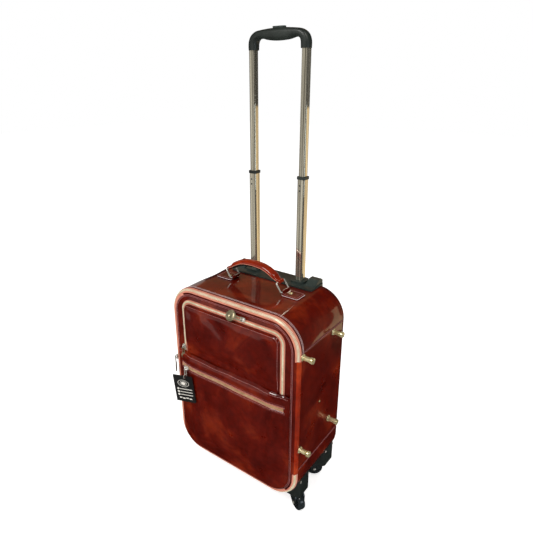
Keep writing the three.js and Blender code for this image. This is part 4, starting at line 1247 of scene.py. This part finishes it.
def handle_details():
    """Lock holes in the tubes, and the grip with its thicker middle."""
    shape = Shape()
    for s in ("left", "right"):
        lo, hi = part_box("mid_tube_" + s)
        for drop in (13 * MM, 24 * MM):
            at = Vector(((lo.x + hi.x) / 2 - 2 * MM, lo.y + 0.05 * MM, hi.z - drop))
            shape.lathe(mm([(1.9, 0), (1.9, 0.12), (1.5, 0.2), (0.3, 0.1)]), at, (0, -1, 0), 20)
    piece("tube_lock_holes", shape, PLASTIC, "mid_stage")
    lo = low("grip")
    # Half of the grip's line in mm: across, height over its foot, half thickness, half depth
    half = [
        (63.0, 0.1, 9.7, 10.4), (63.0, 7, 9.9, 10.8), (62.4, 14, 9.6, 11.2), (59.0, 21.5, 8.8, 11.8),
        (51.5, 27.0, 7.9, 12.2), (41, 28.6, 8.0, 12.6), (24, 27.8, 10.4, 13.2), (0, 27.3, 11.5, 13.4),
    ]
    knots = np.array([(-x, *rest) for x, *rest in half] + half[-2::-1])
    run = np.concatenate([[0], np.cumsum(np.hypot(*np.diff(knots[:, :2], axis=0).T))])
    t = np.linspace(0, 1, 90)
    x, z, thick, deep = (catmull(run / run[-1], knots[:, k], t) * MM for k in range(4))
    z = z + lo.z
    tx, tz = np.gradient(x), np.gradient(z)
    size = np.hypot(tx, tz)
    nx, nz = -tz / size, tx / size
    y = middle("grip").y
    rows = [
        stack(x + nx * thick * a, np.full(x.shape, y) + deep * b, z + nz * thick * a)
        for a, b in rounded(1, 1, 2.7, 32)
    ]
    grip = Shape()
    grip.grid(np.stack(rows, 1), around_v=True, caps=True)
    piece("grip_shell", grip, PLASTIC, "upper_stage", ["grip"])


handle_details()


HOUSING_DEPTH = 0.8  # share of the CAD housing's depth that is drawn


def wheels():
    """Spoked wheels with their axle bolts, and the housings with their rivets."""
    for c in CORNERS:
        spin = JOINT["wheel_" + c]
        at, axis = Vector(spin["pos_m"]), Vector(spin["axis"])
        r = at.z / MM
        half = [(3.6, 8.2), (6.5, 8.4), (7.0, 6.6), (13.6, 6.4), (14.4, 8.3), (17.6, 8.5), (19.4, 7.6),
                (r - 0.1, 5.2), (r, 1.0), (r - 0.5, 0.6)]
        profile = [(p, -h) for p, h in half] + half[::-1]
        shape = Shape()
        rows = []
        x = axis.orthogonal().normalized()
        y = axis.cross(x)
        turn = np.linspace(0, 2 * math.pi, 48, endpoint=False)
        for p, h in profile:
            rows.append([tuple(at + axis * h * MM + (x * math.cos(a) + y * math.sin(a)) * p * MM) for a in turn])
        shape.grid(rows, around_u=True, around_v=True)
        for k in range(5):
            a = 2 * math.pi * k / 5
            way = x * math.cos(a) + y * math.sin(a)
            for side in (-1, 1):
                path = [tuple(at + way * q * MM + axis * side * 6.7 * MM) for q in (6.6, 10, 14)]
                shape.sweep(path, rounded(1.3 * MM, 0.9 * MM, 3, 10), tuple(axis))
        piece("wheel_" + c, shape, WHEEL, "wheel_" + c, ["caster_wheel_" + c])
        bolts = Shape()
        for side in (-1, 1):
            end = at + axis * side * 12.1 * MM
            bolts.lathe(mm([(3.4, 0), (3.4, 0.9), (2.6, 1.7), (0.6, 2.0)]), end, axis * side, 24)
        piece("axle_bolt_" + c, bolts, NICKEL, "fork_" + c)
        node = frame["nodes"]["caster_housing_" + c]
        lo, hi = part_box("caster_housing_" + c)
        shell = Shape()
        centre = pivot("swivel_" + c).y
        corners = [node.matrix_world @ v.co for v in node.data.vertices]
        faces = [tuple(f.vertices) for f in node.data.polygons]
        shell.add([(v.x, centre + (v.y - centre) * HOUSING_DEPTH, v.z) for v in corners], faces)
        housing = piece("housing_" + c, shell, PLASTIC, "case", ["caster_housing_" + c])
        bevelled(housing, 1.5 * MM)
        rivets = Shape()
        side = 1 if "right" in c else -1
        for dy in (-17, 17):
            at_rivet = Vector((hi.x if side > 0 else lo.x, centre + dy * MM, hi.z - 9 * MM))
            rivets.lathe(mm([(2.5, -0.5), (2.5, 0.4), (1.8, 0.9), (0.5, 1.1)]), at_rivet, (side, 0, 0), 20)
        piece("housing_rivets_" + c, rivets, NICKEL, "case")


wheels()

# ---- Floor, light and camera -------------------------------------------------------------------------


def stage():
    """A white floor, a studio world, the lamps and cards, and the camera."""
    mesh = bpy.data.meshes.new("floor")
    r = 9.0
    mesh.from_pydata([(-r, -r, 0), (r, -r, 0), (r, r, 0), (-r, r, 0)], [], [(0, 1, 2, 3)])
    look = Look("floor_paint", Roughness=0.9, Specular_IOR_Level=0.1)
    look.color(look.ramp(look.noise(3, 2, 0.5), [(0.3, (0.90, 0.90, 0.90)), (0.7, (0.92, 0.92, 0.92))]))
    look.shader.inputs["Emission Color"].default_value = (1, 1, 1, 1)
    look.shader.inputs["Emission Strength"].default_value = 0.62
    mesh.materials.append(look.material)
    floor = bpy.data.objects.new("floor", mesh)
    bpy.context.scene.collection.objects.link(floor)
    floor.visible_glossy = False

    world = bpy.data.worlds.new("studio")
    bpy.context.scene.world = world
    world.use_nodes = True
    tree = world.node_tree
    back = tree.nodes["Background"]
    rays = tree.nodes.new("ShaderNodeLightPath")
    # Grey for lighting, nearly black where it would be mirrored, and white behind the object
    mirrored, seen = (tree.nodes.new("ShaderNodeMixRGB") for _ in range(2))
    tree.links.new(rays.outputs["Is Glossy Ray"], mirrored.inputs[0])
    mirrored.inputs[1].default_value = (0.50, 0.50, 0.50, 1)
    mirrored.inputs[2].default_value = (0.007, 0.006, 0.005, 1)
    tree.links.new(rays.outputs["Is Camera Ray"], seen.inputs[0])
    tree.links.new(mirrored.outputs[0], seen.inputs[1])
    seen.inputs[2].default_value = (1, 1, 1, 1)
    tree.links.new(seen.outputs[0], back.inputs["Color"])
    back.inputs["Strength"].default_value = 1.0

    # Name, place, where it points, width, height, brightness of its face, tint
    lamps = [
        ("key", (-0.3, -1.9, 2.3), (0, 0, 0.35), 0.8, 0.8, 17.0, (1.0, 0.98, 0.95)),
        ("front_card", (-1.0, -1.6, 0.57), (0, 0, 0.57), 0.95, 2.05, 0.45, (1.0, 0.98, 0.92)),
        ("warm_card", (1.0, 1.7, 0.1), (0, 0, 0.1), 0.6, 1.4, 1.10, (1.0, 0.76, 0.44)),
        ("brown_card", (-1.2, 1.7, 1.6), (0, 0, 0.5), 1.6, 1.3, 0.30, (1.0, 0.52, 0.25)),
        ("low", (2.2, -0.3, 0.5), (0, 0, 0.2), 0.7, 0.6, 5.0, (0.78, 0.89, 1.0)),
        ("left_card", (-2.0, 0.9, 0.5), (0, 0, 0.5), 1.2, 2.1, 0.45, (1.0, 0.98, 0.93)),
        ("back_card", (-0.3, 2.6, 0.4), (0, 0, 0.4), 1.2, 1.6, 0.5, (1.0, 1.0, 1.0)),
        ("top", (1.2, -0.3, 2.3), (0, 0, 0.35), 0.5, 0.5, 14.0, (1.0, 0.96, 0.90)),
    ]
    for name, at, aim, wide, tall, bright, tint in lamps:
        data = bpy.data.lights.new(name, "AREA")
        data.shape, data.size, data.size_y = "RECTANGLE", wide, tall
        data.energy, data.color = bright * math.pi * wide * tall, tint
        lamp = bpy.data.objects.new(name, data)
        lamp.location = at
        lamp.rotation_euler = (Vector(aim) - Vector(at)).to_track_quat("-Z", "Y").to_euler()
        lamp.visible_camera = False
        bpy.context.scene.collection.objects.link(lamp)

    # The camera stands in front of the case, to its right and above it.
    yaw, pitch = math.radians(35.85), math.radians(-21.72)
    cam = bpy.data.cameras.new("camera")
    cam.sensor_width, cam.lens = 36, 31.22139
    camera = bpy.data.objects.new("camera", cam)
    camera.location = (0.573, -0.73925, 0.935)
    forward = Vector((-math.sin(yaw) * math.cos(pitch), math.cos(yaw) * math.cos(pitch), math.sin(pitch)))
    camera.rotation_euler = forward.to_track_quat("-Z", "Y").to_euler()
    bpy.context.scene.collection.objects.link(camera)
    bpy.context.scene.camera = camera
    bpy.context.scene.view_settings.view_transform = "Standard"


stage()
